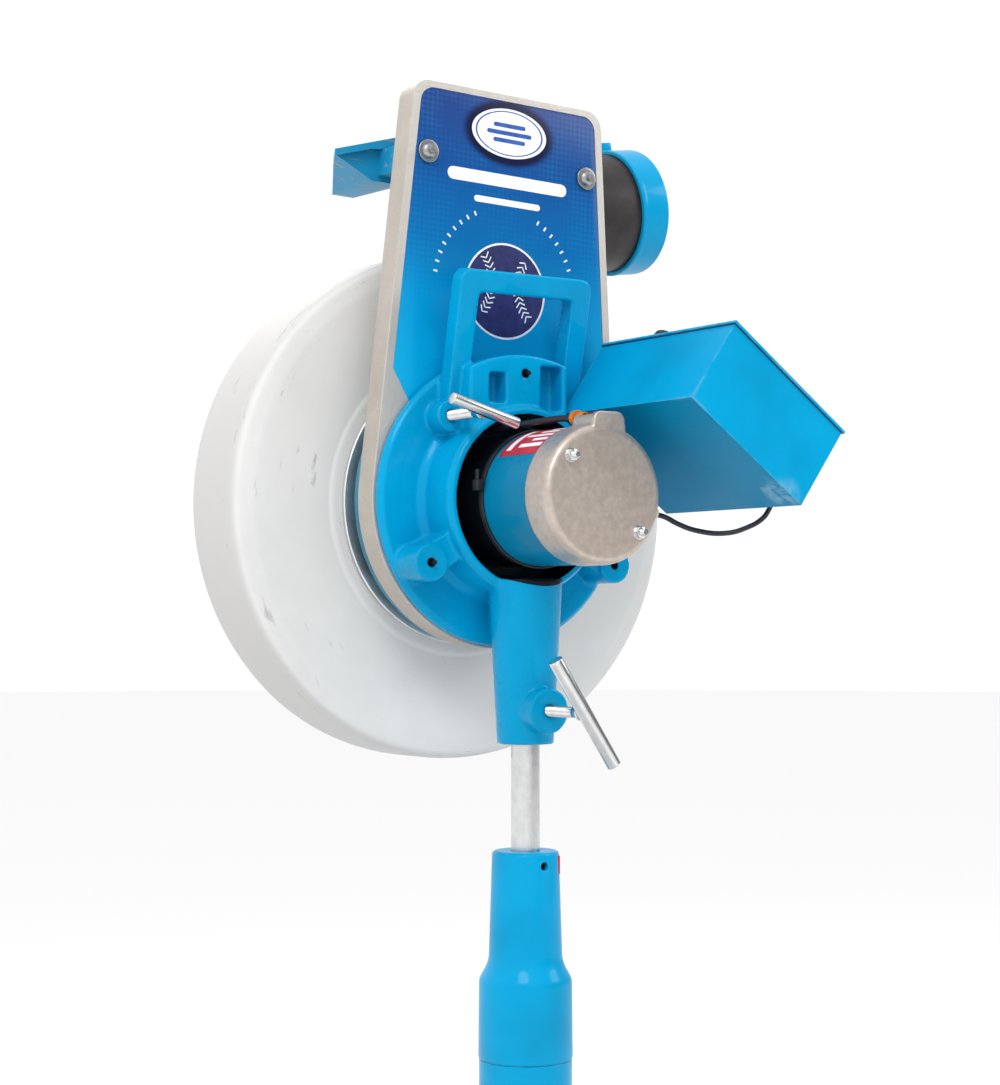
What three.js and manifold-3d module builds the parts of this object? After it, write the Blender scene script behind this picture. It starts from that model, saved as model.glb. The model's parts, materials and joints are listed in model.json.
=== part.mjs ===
// A single-wheel baseball pitching machine on a folding tripod.
// Millimetres, +Z up.  The origin is on the floor, at the centre of the footprint of the three feet.
// The machine is laid out around its wheel axle: X runs along the ball's path (balls are fed in from +X
// and leave towards -X), the head plate's front face is at y = 0 with the wheel behind it at +Y, the
// motor and the control box are in front of it at -Y, and the axle is at z = 0 before the whole head is
// lifted to its height on the mast.

import * as THREE from "three";
import { mergeVertices } from "three/addons/utils/BufferGeometryUtils.js";
import Module from "manifold-3d";

const wasm = await Module();
wasm.setup();

// ---- driving dimensions ------------------------------------------------------------------------------

const fit = 0.3; // air between two pieces that touch

// where the machine stands
const axleHeight = 1160;
const footCircle = 480;
const mastForward = 37; // the mast stands this far in front of the head plate's front face
const headLean = 2; // degrees; the head rests tipped back a little, ball exit up

// tyre and wheel
const tyreRadius = 203;
const tyreWidth = 79;
const tyreFront = 54;
const rimSeatRadius = 101.5;
const rimLipRadius = 111;
const rimLipReach = 6; // the rim's lip stands out of the tyre's side by this
const rimSheet = 2.4;
const wheelHubRadius = 30;
const axleRadius = 8;

// head plate
const plateThickness = 22;
const plateRadius = 114;
const plateTop = 321.5;
const plateTopHalf = 89;
const plateCorner = 15;
const plateBoreRadius = 44;
const panelRecess = 1.4;
const panelThickness = 0.8;
const panelMargin = 7.5; // along the flanks
const panelTopMargin = 5.5;
const panelTuck = 4; // the panel's foot lies this far under the casting's disc
const plateScrewX = 74.5;
const plateScrewZ = 266;
const plateScrewRadius = 4;

// swivel casting
const discRadius = 112;
const discThickness = 8;
const boreRadius = 65.4;
const collarWall = 5;
const collarDepth = 43;
const lugCircle = 97.5;
const lugRadius = 14;
const lugDepth = 38;
const lugAngles = [90, 210, 330];
const crownDepth = 38;
const pocketFloor = 22; // the crown's cored pockets stop this far in front of the head plate
const clampScrewRadius = 3;
const hubTopRadius = 28.2;
const hubBottomRadius = 21.4;
const hubTop = -60;
const hubBottom = -186;
const handleHalf = 60;
const handleTop = 179;
const handleBar = 17;
const handleDepth = 15;
const handleLean = 12.5; // degrees, outwards at the top

// rear clamp ring
const ringInner = 62;
const ringThickness = 11.5;

// motor
const canRadius = 51;
const canWall = 3;
const canBack = -12;
const bellBack = -111.7;
const bellFront = -140.5;
const bellWall = 4;
const motorStudInset = 10; // from the can's outside to a stud's centre
const motorStudAngles = [138, -42];
const motorStudRadius = 2.6;
const magnetThickness = 8;
const airGap = 2; // between the magnets and the armature

// control box, in its own frame: x along its long side, z through its depth, y as the machine's
const boxLength = 128;
const boxDepth = 69;
const boxNear = -190;
const boxFar = -26.5;
const boxWall = 2;
const boxCorner = [41, 69]; // the corner next to the motor, in the machine's x and z
const boxTurn = 36; // degrees
const lidThickness = 2;
const lidOverhang = 1.5;
const knobRadius = 13.5;
const knobHeight = 21;
const knobRow = -68;
const boxScrews = [[66, 72], [95, 40]]; // where the box is screwed to the casting, in x and z

// locks
const tiltLockAt = [-59.5, 63];
const tiltBarRadius = 4.5;
const tiltBarLength = 60;
const tiltBarY = -72;
const tiltBarAngle = -15.6;
const panLockZ = -160;
const panBarRadius = 5.6;
const panBarLength = 95;
const panBarY = -115;
const panBarAngle = -56;
const lockStudRadius = 4.2;

// mast and tripod, heights from the axle
const mastRadius = 11;
const mastTop = -74;
const neckTop = -267;
const neckShoulder = -357;
const neckSeam = -424;
const neckTopRadius = 25.5;
const neckBottomRadius = 28;
const collarRadius = 36;
const mastSeat = 130; // depth of the mast's socket in the neck
const legPivotHeight = 560;
const legPivotRadius = 62;
const legRadius = 17;
const legPinRadius = 5;
const earThickness = 6;
const footRadius = 28;
const footHeight = 24;

// feed chute, along the ball's path in the head's frame
const chuteRadius = 50;
const chuteWall = 4;
const chuteStart = 75;
const chuteEnd = 190;
const chuteEndZ = 269;
const chuteSlope = 10; // degrees
const bandWidth = 27;
const bandSheet = 3.2;

// ---- derived places ----------------------------------------------------------------------------------

const rad = THREE.MathUtils.degToRad;
const columnX = -footCircle / 4;
const wheelMid = tyreFront + tyreWidth / 2;
const ringFront = plateThickness + fit;
const ringBack = ringFront + ringThickness;
const collarRadiusOuter = boreRadius + collarWall;
const motorStudCircle = canRadius - motorStudInset;
const magnetInner = canRadius - canWall - magnetThickness;
const coreRadius = magnetInner - airGap;
const polar = (radius, angle) => [radius * Math.cos(rad(angle)), radius * Math.sin(rad(angle))];

// ---- finishes ----------------------------------------------------------------------------------------

const finish = (color, roughness, metalness) => ({ color, roughness, metalness });
const bluePaint = finish(0x0aa0dc, 0.3, 0.0);
const tealPaint = finish(0x2f7f95, 0.4, 0.0);
const castAluminium = finish(0xcfc9c2, 0.55, 0.9);
const dieCast = finish(0xa89e94, 0.45, 0.8);
const zinc = finish(0xb9bcc0, 0.3, 0.95);
const steel = finish(0x9a9da1, 0.35, 0.95);
const whiteRubber = finish(0xe6e6e4, 0.8, 0.0);
const blackPlastic = finish(0x17181b, 0.5, 0.0);
const blackRubber = finish(0x1d1c1e, 0.8, 0.0);
const orangePlastic = finish(0xd9832b, 0.5, 0.0);
const creamPlastic = finish(0xd9cfb8, 0.5, 0.0);
const panelPrint = finish(0x1560b4, 0.35, 0.0);
const copper = finish(0xb4693c, 0.4, 0.9);
const ferrite = finish(0x2c2c2e, 0.7, 0.1);
const boardGreen = finish(0x1f6a3c, 0.6, 0.0);

// ---- building blocks ---------------------------------------------------------------------------------

// A closed three.js geometry as a solid that can be joined and cut.
function solid(geometry) {
  const bare = geometry.index ? geometry.toNonIndexed() : geometry.clone();
  bare.deleteAttribute("normal");
  bare.deleteAttribute("uv");
  const merged = mergeVertices(bare, 1e-4);
  const triVerts = Uint32Array.from(merged.index.array);
  const vertProperties = Float32Array.from(merged.attributes.position.array);
  return new wasm.Manifold(new wasm.Mesh({ numProp: 3, vertProperties, triVerts }));
}

const join = (...pieces) => pieces.reduce((a, b) => a.add(b));
const cut = (body, ...tools) => tools.reduce((a, b) => a.subtract(b), body);

// A box between two corners.
function block([x0, y0, z0], [x1, y1, z1]) {
  const geometry = new THREE.BoxGeometry(x1 - x0, y1 - y0, z1 - z0);
  return solid(geometry.translate((x0 + x1) / 2, (y0 + y1) / 2, (z0 + z1) / 2));
}

// A [radius, along] profile that closes on itself or on the axis, turned around Y, Z or X.
function turnedY(profile, segments = 24) {
  const points = profile.map(([r, y]) => new THREE.Vector2(r, y));
  const onAxis = profile[0][0] === 0 && profile[profile.length - 1][0] === 0;
  if (!onAxis) points.push(points[0].clone());
  const area = profile.reduce((sum, [r, y], i) => {
    const [r2, y2] = profile[(i + 1) % profile.length];
    return sum + (r * y2 - r2 * y);
  }, 0);
  if (area < 0) points.reverse();
  return solid(new THREE.LatheGeometry(points, segments));
}

const turnedZ = (profile, segments = 24) => turnedY(profile, segments).rotate([90, 0, 0]);
const turnedX = (profile, segments = 24) => turnedY(profile, segments).rotate([0, 0, -90]);

// A round bar along Y at (x, z), or along Z at (x, y).
const barY = (radius, y0, y1, [x, z] = [0, 0], segments = 12) =>
  turnedY([[0, y0], [radius, y0], [radius, y1], [0, y1]], segments).translate([x, 0, z]);
const barZ = (radius, z0, z1, [x, y] = [0, 0], segments = 12) =>
  turnedZ([[0, z0], [radius, z0], [radius, z1], [0, z1]], segments).translate([x, y, 0]);

// An outline in x and z, extruded along Y from y0 to y1.
function prismY(shape, y0, y1, curveSegments = 4) {
  const options = { depth: y1 - y0, bevelEnabled: false, curveSegments };
  const geometry = new THREE.ExtrudeGeometry(shape, options);
  return solid(geometry.rotateX(Math.PI / 2).translate(0, y1, 0));
}

const outline = (points) => new THREE.Shape(points.map(([x, z]) => new THREE.Vector2(x, z)));

// A rectangle with round corners, centred on (cx, cz).
function roundedRectangle(width, height, radius, cx = 0, cz = 0) {
  const [x, z] = [width / 2 - radius, height / 2 - radius];
  const shape = new THREE.Shape();
  shape.absarc(cx + x, cz - z, radius, -Math.PI / 2, 0);
  shape.absarc(cx + x, cz + z, radius, 0, Math.PI / 2);
  shape.absarc(cx - x, cz + z, radius, Math.PI / 2, Math.PI);
  shape.absarc(cx - x, cz - z, radius, Math.PI, Math.PI * 1.5);
  shape.closePath();
  return shape;
}

// A round tube or cord along a smooth curve.
function cordAlong(points, radius, steps, sides = 8) {
  const places = points.map((p) => new THREE.Vector3(...p));
  const curve = new THREE.CatmullRomCurve3(places, false, "centripetal");
  const section = new THREE.Shape();
  section.absarc(0, 0, radius, 0, Math.PI * 2);
  const options = { steps, extrudePath: curve, curveSegments: sides / 2, bevelEnabled: false };
  return solid(new THREE.ExtrudeGeometry(section, options));
}

function toGeometry(body) {
  const { vertProperties, triVerts, numProp } = body.getMesh();
  const positions = new Float32Array((vertProperties.length / numProp) * 3);
  for (let i = 0; i < positions.length / 3; i++) {
    for (let k = 0; k < 3; k++) positions[i * 3 + k] = vertProperties[i * numProp + k];
  }
  const geometry = new THREE.BufferGeometry();
  geometry.setAttribute("position", new THREE.BufferAttribute(positions, 3));
  geometry.setIndex(Array.from(triVerts));
  return geometry;
}

function part(parent, name, body, look) {
  const mesh = new THREE.Mesh(toGeometry(body), new THREE.MeshStandardMaterial(look));
  mesh.name = name;
  parent.add(mesh);
}

const pitchingMachine = new THREE.Group();
const stand = new THREE.Group();
stand.position.set(columnX, 0, 0);
const machine = new THREE.Group();
machine.position.set(columnX, mastForward, axleHeight);
const head = new THREE.Group();
head.rotation.y = rad(headLean);
const box = new THREE.Group();
box.position.set(boxCorner[0], 0, boxCorner[1]);
box.rotation.y = rad(boxTurn);
machine.add(head, box);
pitchingMachine.add(stand, machine);

// ---- tripod and mast ---------------------------------------------------------------------------------

const legPitch = Math.atan2(footCircle - legPivotRadius, legPivotHeight - footHeight);
const legLength = Math.hypot(footCircle - legPivotRadius, legPivotHeight - footHeight);
const tripodBottom = legPivotHeight - 38;
const standZ = (fromAxle) => axleHeight + fromAxle;

function neck() {
  const shell = turnedZ([
    [0, standZ(neckSeam)],
    [collarRadius, standZ(neckSeam)],
    [collarRadius - 1, standZ(neckShoulder) - 7],
    [collarRadius - 3, standZ(neckShoulder) - 3],
    [neckBottomRadius + 1.5, standZ(neckShoulder) + 3],
    [neckBottomRadius, standZ(neckShoulder) + 9],
    [neckTopRadius, standZ(neckTop) - 2],
    [neckTopRadius - 2, standZ(neckTop)],
    [0, standZ(neckTop)],
  ]);
  const socket = barZ(mastRadius + fit, standZ(neckTop) - mastSeat, standZ(neckTop) + 1, [0, 0], 24);
  const screwHole = barY(3.4, -neckTopRadius - 4, 0, [0, standZ(neckTop) - 10], 16);
  part(stand, "tripod_neck", cut(shell, socket, screwHole), bluePaint);
  const screwStart = -mastRadius - fit;
  const screwEnd = -neckTopRadius + 2;
  const setScrew = barY(3.0, screwEnd, screwStart, [0, standZ(neckTop) - 10], 16);
  part(stand, "mast_set_screw", setScrew, steel);
}

function mast() {
  const bottom = standZ(neckTop) - mastSeat + fit;
  const chamfer = 1.5;
  const profile = [
    [0, bottom],
    [mastRadius, bottom],
    [mastRadius, standZ(mastTop) - chamfer],
    [mastRadius - chamfer, standZ(mastTop)],
    [0, standZ(mastTop)],
  ];
  part(stand, "mast_rod", turnedZ(profile, 24), zinc);
}

function tripodHub() {
  const tube = turnedZ([
    [collarRadius - 4, tripodBottom],
    [collarRadius - 0.5, tripodBottom],
    [collarRadius - 0.5, standZ(neckSeam) - fit],
    [collarRadius - 4, standZ(neckSeam) - fit],
  ]);
  const earGap = legRadius + 1;
  const earHeight = 38;
  const earRoot = collarRadius - 6;
  const earTip = legPivotRadius + 14;
  const earLength = earTip - earRoot;
  const earMiddle = (earTip + earRoot) / 2;
  const ear = (side) => {
    const plate = prismY(roundedRectangle(earLength, earHeight, 12, earMiddle, 0), 0, earThickness, 2);
    return plate.translate([0, side > 0 ? earGap : -earGap - earThickness, legPivotHeight]);
  };
  const pinHole = barY(legPinRadius + fit, -40, 40, [legPivotRadius, legPivotHeight]);
  const clevis = cut(join(ear(1), ear(-1)), pinHole, barZ(collarRadius - 2, 0, axleHeight));
  const pieces = [0, 120, 240].map((angle) => clevis.rotate([0, 0, angle]));
  part(stand, "tripod_hub", join(tube, ...pieces), bluePaint);
}

// One leg, its pivot pin and its rubber foot, built towards +X and turned to its place.
function leg(number, angle) {
  const spoke = new THREE.Group();
  spoke.rotation.z = rad(angle);
  stand.add(spoke);
  const turn = (body) =>
    body.rotate([0, 180 - (legPitch * 180) / Math.PI, 0]).translate([legPivotRadius, 0, legPivotHeight]);
  const sleeve = 34;
  const tube = turn(barZ(legRadius, -2, legLength - sleeve));
  const knuckle = barY(legRadius + 1, -legRadius, legRadius, [legPivotRadius, legPivotHeight]);
  const pinHole = barY(legPinRadius + fit, -40, 40, [legPivotRadius, legPivotHeight]);
  part(spoke, "leg_" + number, cut(join(tube, knuckle), pinHole), bluePaint);

  const grip = legRadius + 1 + earThickness + fit;
  const capHeight = 5;
  const pin = join(
    barY(legPinRadius, -grip - 1, grip + 1, [legPivotRadius, legPivotHeight]),
    barY(legPinRadius + 4, -grip - capHeight, -grip, [legPivotRadius, legPivotHeight], 6),
    barY(legPinRadius + 4, grip, grip + capHeight, [legPivotRadius, legPivotHeight], 6),
  );
  part(spoke, "leg_pin_" + number, pin, zinc);

  const boot = turn(barZ(legRadius + 5, legLength - 62, legLength));
  const pad = turnedZ([
    [0, 0],
    [footRadius, 0],
    [footRadius, footHeight / 3],
    [footRadius - 8, footHeight],
    [0, footHeight],
  ], 20);
  const bore = turn(barZ(legRadius + fit, legLength - 64, legLength - sleeve + fit));
  const below = block([0, -100, -200], [footCircle * 2, 100, 0]);
  const rubber = cut(join(boot, pad.translate([footCircle, 0, 0])), bore, below);
  part(spoke, "foot_" + number, rubber, blackRubber);
}

neck();
mast();
tripodHub();
[0, 120, 240].forEach((angle, i) => leg(i + 1, angle));

// ---- swivel casting and its clamp --------------------------------------------------------------------

// The carrying handle: a U of square bar that leans out from the disc, with a gusset behind each leg.
function handle() {
  const bottom = 62;
  const rise = handleTop - bottom;
  const outer = roundedRectangle(handleHalf * 2, rise * 2, 9, 0, bottom);
  const inner = roundedRectangle((handleHalf - handleBar) * 2, (rise - handleBar) * 2, 4, 0, bottom);
  const bow = cut(prismY(outer, -handleDepth, 0), prismY(inner, -handleDepth - 1, 1));
  const upper = bow.subtract(block([-200, -100, -400], [200, 100, bottom]));
  const leaning = upper.translate([0, 0, -bottom]).rotate([handleLean, 0, 0]).translate([0, -3, bottom]);
  const gusset = (side) => {
    const profile = new THREE.Shape([
      new THREE.Vector2(-4, 66),
      new THREE.Vector2(-4, 110),
      new THREE.Vector2(-16, 126),
      new THREE.Vector2(-20, 70),
    ]);
    const options = { depth: 8, bevelEnabled: false };
    const web = new THREE.ExtrudeGeometry(profile, options).rotateX(Math.PI / 2).rotateZ(Math.PI / 2);
    const x = side > 0 ? handleHalf - handleBar + 4 : -handleHalf + 5;
    return solid(web).translate([x, 0, 0]);
  };
  return join(leaning, gusset(1), gusset(-1));
}

function lug(angle) {
  const [x, z] = polar(lugCircle, angle);
  const root = boreRadius + 2;
  const webOutline = outline([[root, -11], [lugCircle, -13], [lugCircle, 13], [root, 11]]);
  const web = prismY(webOutline, 4 - lugDepth, -4);
  const boss = barY(lugRadius, -lugDepth, -4, [x, z], 20);
  return join(boss, web.rotate([0, -angle, 0]));
}

function swivelCasting() {
  const disc = turnedY(
    [
      [34, -fit],
      [discRadius - 1, -fit],
      [discRadius, -2],
      [discRadius, -5],
      [discRadius - 3, -discThickness],
      [collarRadiusOuter + 9, -discThickness],
      [collarRadiusOuter + 4, -12],
      [collarRadiusOuter + 1.5, -collarDepth + 3],
      [collarRadiusOuter - 1, -collarDepth],
      [boreRadius, -collarDepth],
      [boreRadius, -discThickness - 1],
      [34, -discThickness - 1],
    ],
    48,
  );
  // the block that carries the upper lug, with its two cored pockets; it stops short of the control box
  const crownRight = boxCorner[0] - 2;
  const crown = block([-50, -crownDepth, 40], [crownRight, -4, 140])
    .intersect(barY(discRadius, -60, 0, [0, 0], 48))
    .subtract(barY(boreRadius, -60, 0, [0, 0], 48));
  const pockets = [
    block([-33, -60, 74], [-18, -pocketFloor, 97]),
    block([14, -60, 70], [crownRight - 5, -pocketFloor, 104]),
  ];
  const hubProfile = [[0, hubBottom], [hubBottomRadius, hubBottom], [hubTopRadius, hubTop], [0, hubTop]];
  const hub = turnedZ(hubProfile, 24).translate([0, -mastForward, 0]);
  const spineFoot = hubBottom + 4;
  const spineOutline = outline([[-15, -60], [15, -60], [7, spineFoot], [-7, spineFoot]]);
  const spine = prismY(spineOutline, -mastForward, -10);
  const panBoss = barY(17, -mastForward - 33, -mastForward, [0, panLockZ], 20);
  const tiltBoss = barY(12, -26, -4, tiltLockAt, 16);
  const standoffs = boxScrews.map((at) => barY(7, boxFar + fit, -4, at));

  const bore = barY(boreRadius, -collarDepth - 40, -discThickness - 1, [0, 0], 48);
  const lugHoles = lugAngles.map((angle) =>
    barY(clampScrewRadius + fit, -80, 1, polar(lugCircle, angle)));
  const mastBore = barZ(mastRadius + fit, hubBottom - 1, mastTop + fit, [0, -mastForward], 24);
  const panHole = barY(lockStudRadius + fit, -100, -mastForward, [0, panLockZ]);
  const tiltHole = barY(lockStudRadius + fit, -100, 1, tiltLockAt);
  const boxHoles = boxScrews.map((at) => barY(3.3, -100, 1, at));

  const bosses = [panBoss, tiltBoss, ...standoffs, ...lugAngles.map(lug)];
  const raw = join(disc, crown, hub, spine, handle(), ...bosses);
  const casting = cut(raw, bore, mastBore, panHole, tiltHole, ...pockets, ...lugHoles, ...boxHoles);
  part(machine, "swivel_casting", casting, bluePaint);
}

function clampRing() {
  const ring = turnedY([
    [ringInner, ringFront],
    [discRadius, ringFront],
    [discRadius, ringBack - 2],
    [discRadius - 2, ringBack],
    [ringInner, ringBack],
  ], 48);
  const holes = lugAngles.map((angle) =>
    barY(clampScrewRadius + fit, 0, 60, polar(lugCircle, angle)));
  part(machine, "rear_clamp_ring", cut(ring, ...holes), tealPaint);
  lugAngles.forEach((angle, i) => {
    const at = polar(lugCircle, angle);
    const shank = barY(clampScrewRadius, 3 - lugDepth, ringBack + 2, at);
    const socket = barY(1.6, -lugDepth, 7 - lugDepth, at, 6);
    const nut = barY(6, ringBack + fit, ringBack + 5.5, at, 6);
    part(machine, "clamp_screw_" + (i + 1), cut(join(shank, nut), socket), steel);
  });
}

swivelCasting();
clampRing();

// ---- lock handles ------------------------------------------------------------------------------------

// A screw with a tommy bar welded across its end.
function lockHandle(name, [x, z], studFrom, barAt, barRadius, length, angle) {
  const stud = barY(lockStudRadius, barAt, studFrom, [x, z], 20);
  const chamfer = 0.8;
  const half = length / 2;
  const bar = turnedZ(
    [
      [0, -half],
      [barRadius - chamfer, -half],
      [barRadius, -half + chamfer],
      [barRadius, half - chamfer],
      [barRadius - chamfer, half],
      [0, half],
    ],
    20,
  );
  const placed = bar.rotate([0, 90 - angle, 0]).translate([x, barAt, z]);
  part(machine, name, join(stud, placed), zinc);
}

lockHandle("tilt_lock_handle", tiltLockAt, -fit, tiltBarY, tiltBarRadius, tiltBarLength, tiltBarAngle);
const mastFace = -mastForward - mastRadius - fit;
lockHandle("pan_lock_handle", [0, panLockZ], mastFace, panBarY, panBarRadius, panBarLength, panBarAngle);

// ---- motor -------------------------------------------------------------------------------------------

const bearingRadius = 17.5;
const bearingWidth = 9;
const frontBearingAt = bellFront + bellWall + fit;
const rearBearingAt = canBack - bearingWidth - 3;
const leadGrommetAt = [-3, canRadius + 6.5];
const cableGlandAngle = -12;
const cableGlandY = -124;
const motorCableRadius = 2;
const clipCollar = 4.2;

function motor() {
  const can = turnedY([
    [canRadius - canWall, bellBack + fit],
    [canRadius, bellBack + fit],
    [canRadius, canBack - fit],
    [canRadius - canWall, canBack - fit],
  ]);
  part(machine, "motor_can", can, bluePaint);

  const studHoles = motorStudAngles.map((angle) =>
    barY(motorStudRadius + fit, bellFront - 1, 1, polar(motorStudCircle, angle)));
  const endPlate = turnedY([
    [axleRadius + 1, rearBearingAt - fit],
    [bearingRadius + 4, rearBearingAt - fit],
    [bearingRadius + 4, canBack],
    [canRadius - 1, canBack],
    [canRadius - 1, -discThickness - 1 - fit],
    [axleRadius + 1, -discThickness - 1 - fit],
  ]);
  const rearSeatEnd = rearBearingAt + bearingWidth + fit;
  const rearSeat = barY(bearingRadius + fit, rearBearingAt - 1, rearSeatEnd, [0, 0], 32);
  part(machine, "motor_end_plate", cut(endPlate, rearSeat, ...studHoles), dieCast);

  const bellShell = turnedY([
    [0, bellFront],
    [canRadius - 4, bellFront],
    [canRadius - 1, bellFront + 1.2],
    [canRadius + 0.8, bellFront + 4.5],
    [canRadius + 0.8, bellBack],
    [canRadius - canWall, bellBack],
    [canRadius - canWall, bellFront + bellWall],
    [bearingRadius + 4, bellFront + bellWall],
    [bearingRadius + 4, bellFront + bellWall + bearingWidth],
    [bearingRadius + fit, bellFront + bellWall + bearingWidth],
    [bearingRadius + fit, bellFront + bellWall],
    [0, bellFront + bellWall],
  ]);
  const spout = prismY(roundedRectangle(28, 22, 7, 5, canRadius - 1), bellFront, bellBack, 4);
  const spoutBore = barY(4.2, bellFront + bellWall, bellBack + 1, leadGrommetAt, 16);
  const throat = block([-6, bellFront + bellWall, canRadius - 9], [6, bellBack - 8, canRadius + 7]);
  const bellCore = barY(canRadius - canWall, bellFront + bellWall, bellBack + 1, [0, 0], 32);
  const bell = join(bellShell, spout.subtract(bellCore));
  const glandHole = barZ(clipCollar + fit, 30, 70, [0, cableGlandY]).rotate([0, 90 - cableGlandAngle, 0]);
  part(machine, "end_bell", cut(bell, spoutBore, throat, glandHole, ...studHoles), dieCast);

  motorStudAngles.forEach((angle, i) => {
    const at = polar(motorStudCircle, angle);
    const rod = barY(motorStudRadius, bellFront - 9, -discThickness - 2, at);
    const nut = barY(4.6, bellFront - 4.4, bellFront - fit, at, 6);
    part(machine, "motor_stud_" + (i + 1), join(rod, nut), zinc);
  });

  const bearing = (y0) =>
    turnedY([
      [axleRadius + fit, y0],
      [bearingRadius, y0],
      [bearingRadius, y0 + bearingWidth],
      [axleRadius + fit, y0 + bearingWidth],
    ], 20);
  part(machine, "front_bearing", bearing(frontBearingAt), steel);
  part(machine, "rear_bearing", bearing(rearBearingAt), steel);

  const magnetOuter = canRadius - canWall - fit;
  const magnetRing = turnedY([
    [magnetInner, -96],
    [magnetOuter, -96],
    [magnetOuter, -32],
    [magnetInner, -32],
  ]);
  const boltRoom = motorStudAngles.map((angle) => barY(5, -130, -20, polar(motorStudCircle, angle), 12));
  part(machine, "magnet_ring", cut(magnetRing, ...boltRoom), ferrite);

  const grommet = turnedY([
    [2.9, bellBack - 9],
    [4, bellBack - 9],
    [4, bellBack + fit],
    [6, bellBack + fit],
    [6, bellBack + 5],
    [2.9, bellBack + 5],
  ], 12);
  const grommetX = leadGrommetAt[0];
  part(machine, "lead_grommet", grommet.translate([grommetX, 0, leadGrommetAt[1]]), orangePlastic);

  const tie = turnedY([
    [canRadius + fit, -57.5],
    [canRadius + 1.9, -57.5],
    [canRadius + 1.9, -52.5],
    [canRadius + fit, -52.5],
  ]);
  const tieHead = block([-canRadius - 6.5, -59, 5], [-canRadius - 0.9, -51, 13]);
  const canClear = barY(canRadius + fit, -70, -40, [0, 0], 32);
  part(machine, "cable_tie", join(tie, tieHead).subtract(canClear), blackPlastic);

  const leads = [
    [grommetX, bellBack - 6, leadGrommetAt[1]],
    [grommetX, bellBack + 6, leadGrommetAt[1]],
    [-6, -96, canRadius + 7.2],
    [-12, -80, canRadius + 6.4],
    [-17, -64, canRadius + 5.2],
    [-21, -48, canRadius + 4],
    [-24, -32, canRadius + 2.6],
    [-26, -16, canRadius + 1.4],
  ];
  part(machine, "motor_leads", cordAlong(leads, 2.5, 16), blackPlastic);
}

motor();

// ---- wheel -------------------------------------------------------------------------------------------

function wheel() {
  const shaftEnd = wheelMid + 34;
  const armature = turnedY([
    [0, frontBearingAt + 0.5],
    [axleRadius, frontBearingAt + 0.5],
    [axleRadius, -124],
    [17, -124],
    [17, -106],
    [axleRadius + 2, -106],
    [axleRadius + 2, -98],
    [coreRadius, -98],
    [coreRadius, -30],
    [axleRadius + 2, -30],
    [axleRadius, rearBearingAt - 1],
    [axleRadius, shaftEnd],
    [0, shaftEnd],
  ], 24);
  part(machine, "motor_armature", armature, copper);

  const hubFront = tyreFront - 12;
  const hub = turnedY([
    [axleRadius + fit, hubFront],
    [22, hubFront],
    [22, wheelMid - 12],
    [wheelHubRadius + 18, wheelMid - 12],
    [wheelHubRadius + 18, wheelMid - 3.1],
    [axleRadius + fit, wheelMid - 3.1],
  ], 28);
  part(machine, "wheel_hub", hub, steel);

  // a split rim: each half is a pressed disc that turns out into the tyre's seat and its lip
  const half = (side) => {
    const y = (d) => wheelMid + side * d;
    const lipY = tyreWidth / 2 + rimLipReach;
    const s = rimSheet;
    return turnedY([
      [axleRadius + 6, y(0.2)],
      [rimSeatRadius - 14, y(0.2)],
      [rimSeatRadius - 2, y(12)],
      [rimSeatRadius - 0.5, y(lipY - 6)],
      [rimSeatRadius + 1, y(lipY - 3)],
      [rimLipRadius, y(lipY - 2.6)],
      [rimLipRadius, y(lipY)],
      [rimSeatRadius - 2, y(lipY)],
      [rimSeatRadius - 4, y(lipY - 4)],
      [rimSeatRadius - 4.5, y(12 + s)],
      [rimSeatRadius - 15.5, y(s + 0.2)],
      [axleRadius + 6, y(s + 0.2)],
    ], 32);
  };
  part(machine, "rim_front", half(-1), zinc);
  part(machine, "rim_rear", half(1), zinc);

  const w = tyreWidth / 2;
  const side = (s) => [
    [rimSeatRadius + 0.4, wheelMid + s * (w - 1.5)],
    [rimLipRadius + 5, wheelMid + s * w],
    [tyreRadius - 7, wheelMid + s * w],
    [tyreRadius - 2, wheelMid + s * (w - 3)],
    [tyreRadius, wheelMid + s * (w - 14)],
  ];
  const wall = 12;
  const cavity = (s) => [
    [rimSeatRadius + 0.4, wheelMid + s * (w - 1.5 - wall)],
    [rimSeatRadius + 14, wheelMid + s * (w - wall)],
    [tyreRadius - wall, wheelMid + s * (w - wall - 4)],
  ];
  const tyre = turnedY([...side(-1), ...side(1).reverse(), ...cavity(1), ...cavity(-1).reverse()], 52);
  part(machine, "tyre", tyre, whiteRubber);

  const nutAt = wheelMid + rimSheet + 0.6;
  const nut = turnedY([
    [axleRadius + fit, nutAt],
    [wheelHubRadius - 4, nutAt],
    [wheelHubRadius - 4, nutAt + 4],
    [15, nutAt + 4],
    [15, nutAt + 16],
    [axleRadius + fit, nutAt + 16],
  ], 24);
  part(machine, "wheel_nut", nut, zinc);
}

wheel();

// ---- head plate and its panel ------------------------------------------------------------------------

// Half the plate's width at height z: it widens evenly from the top to the round foot.
const flankSlope = (plateRadius - plateTopHalf) / plateTop;
const flank = (z) => plateRadius - flankSlope * z;

function tombstone(inset, cornerRadius) {
  const shape = new THREE.Shape();
  const top = plateTop - inset;
  const topHalf = flank(top) - inset;
  const lift = plateRadius * flankSlope;
  shape.absarc(0, 0, plateRadius - inset, Math.PI - flankSlope, Math.PI * 2 + flankSlope, false);
  shape.lineTo(topHalf + cornerRadius * flankSlope, top - cornerRadius);
  shape.absarc(topHalf - cornerRadius, top - cornerRadius, cornerRadius, 0, Math.PI / 2, false);
  shape.absarc(cornerRadius - topHalf, top - cornerRadius, cornerRadius, Math.PI / 2, Math.PI, false);
  shape.lineTo(-flank(lift) + inset, lift);
  shape.closePath();
  return shape;
}

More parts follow.
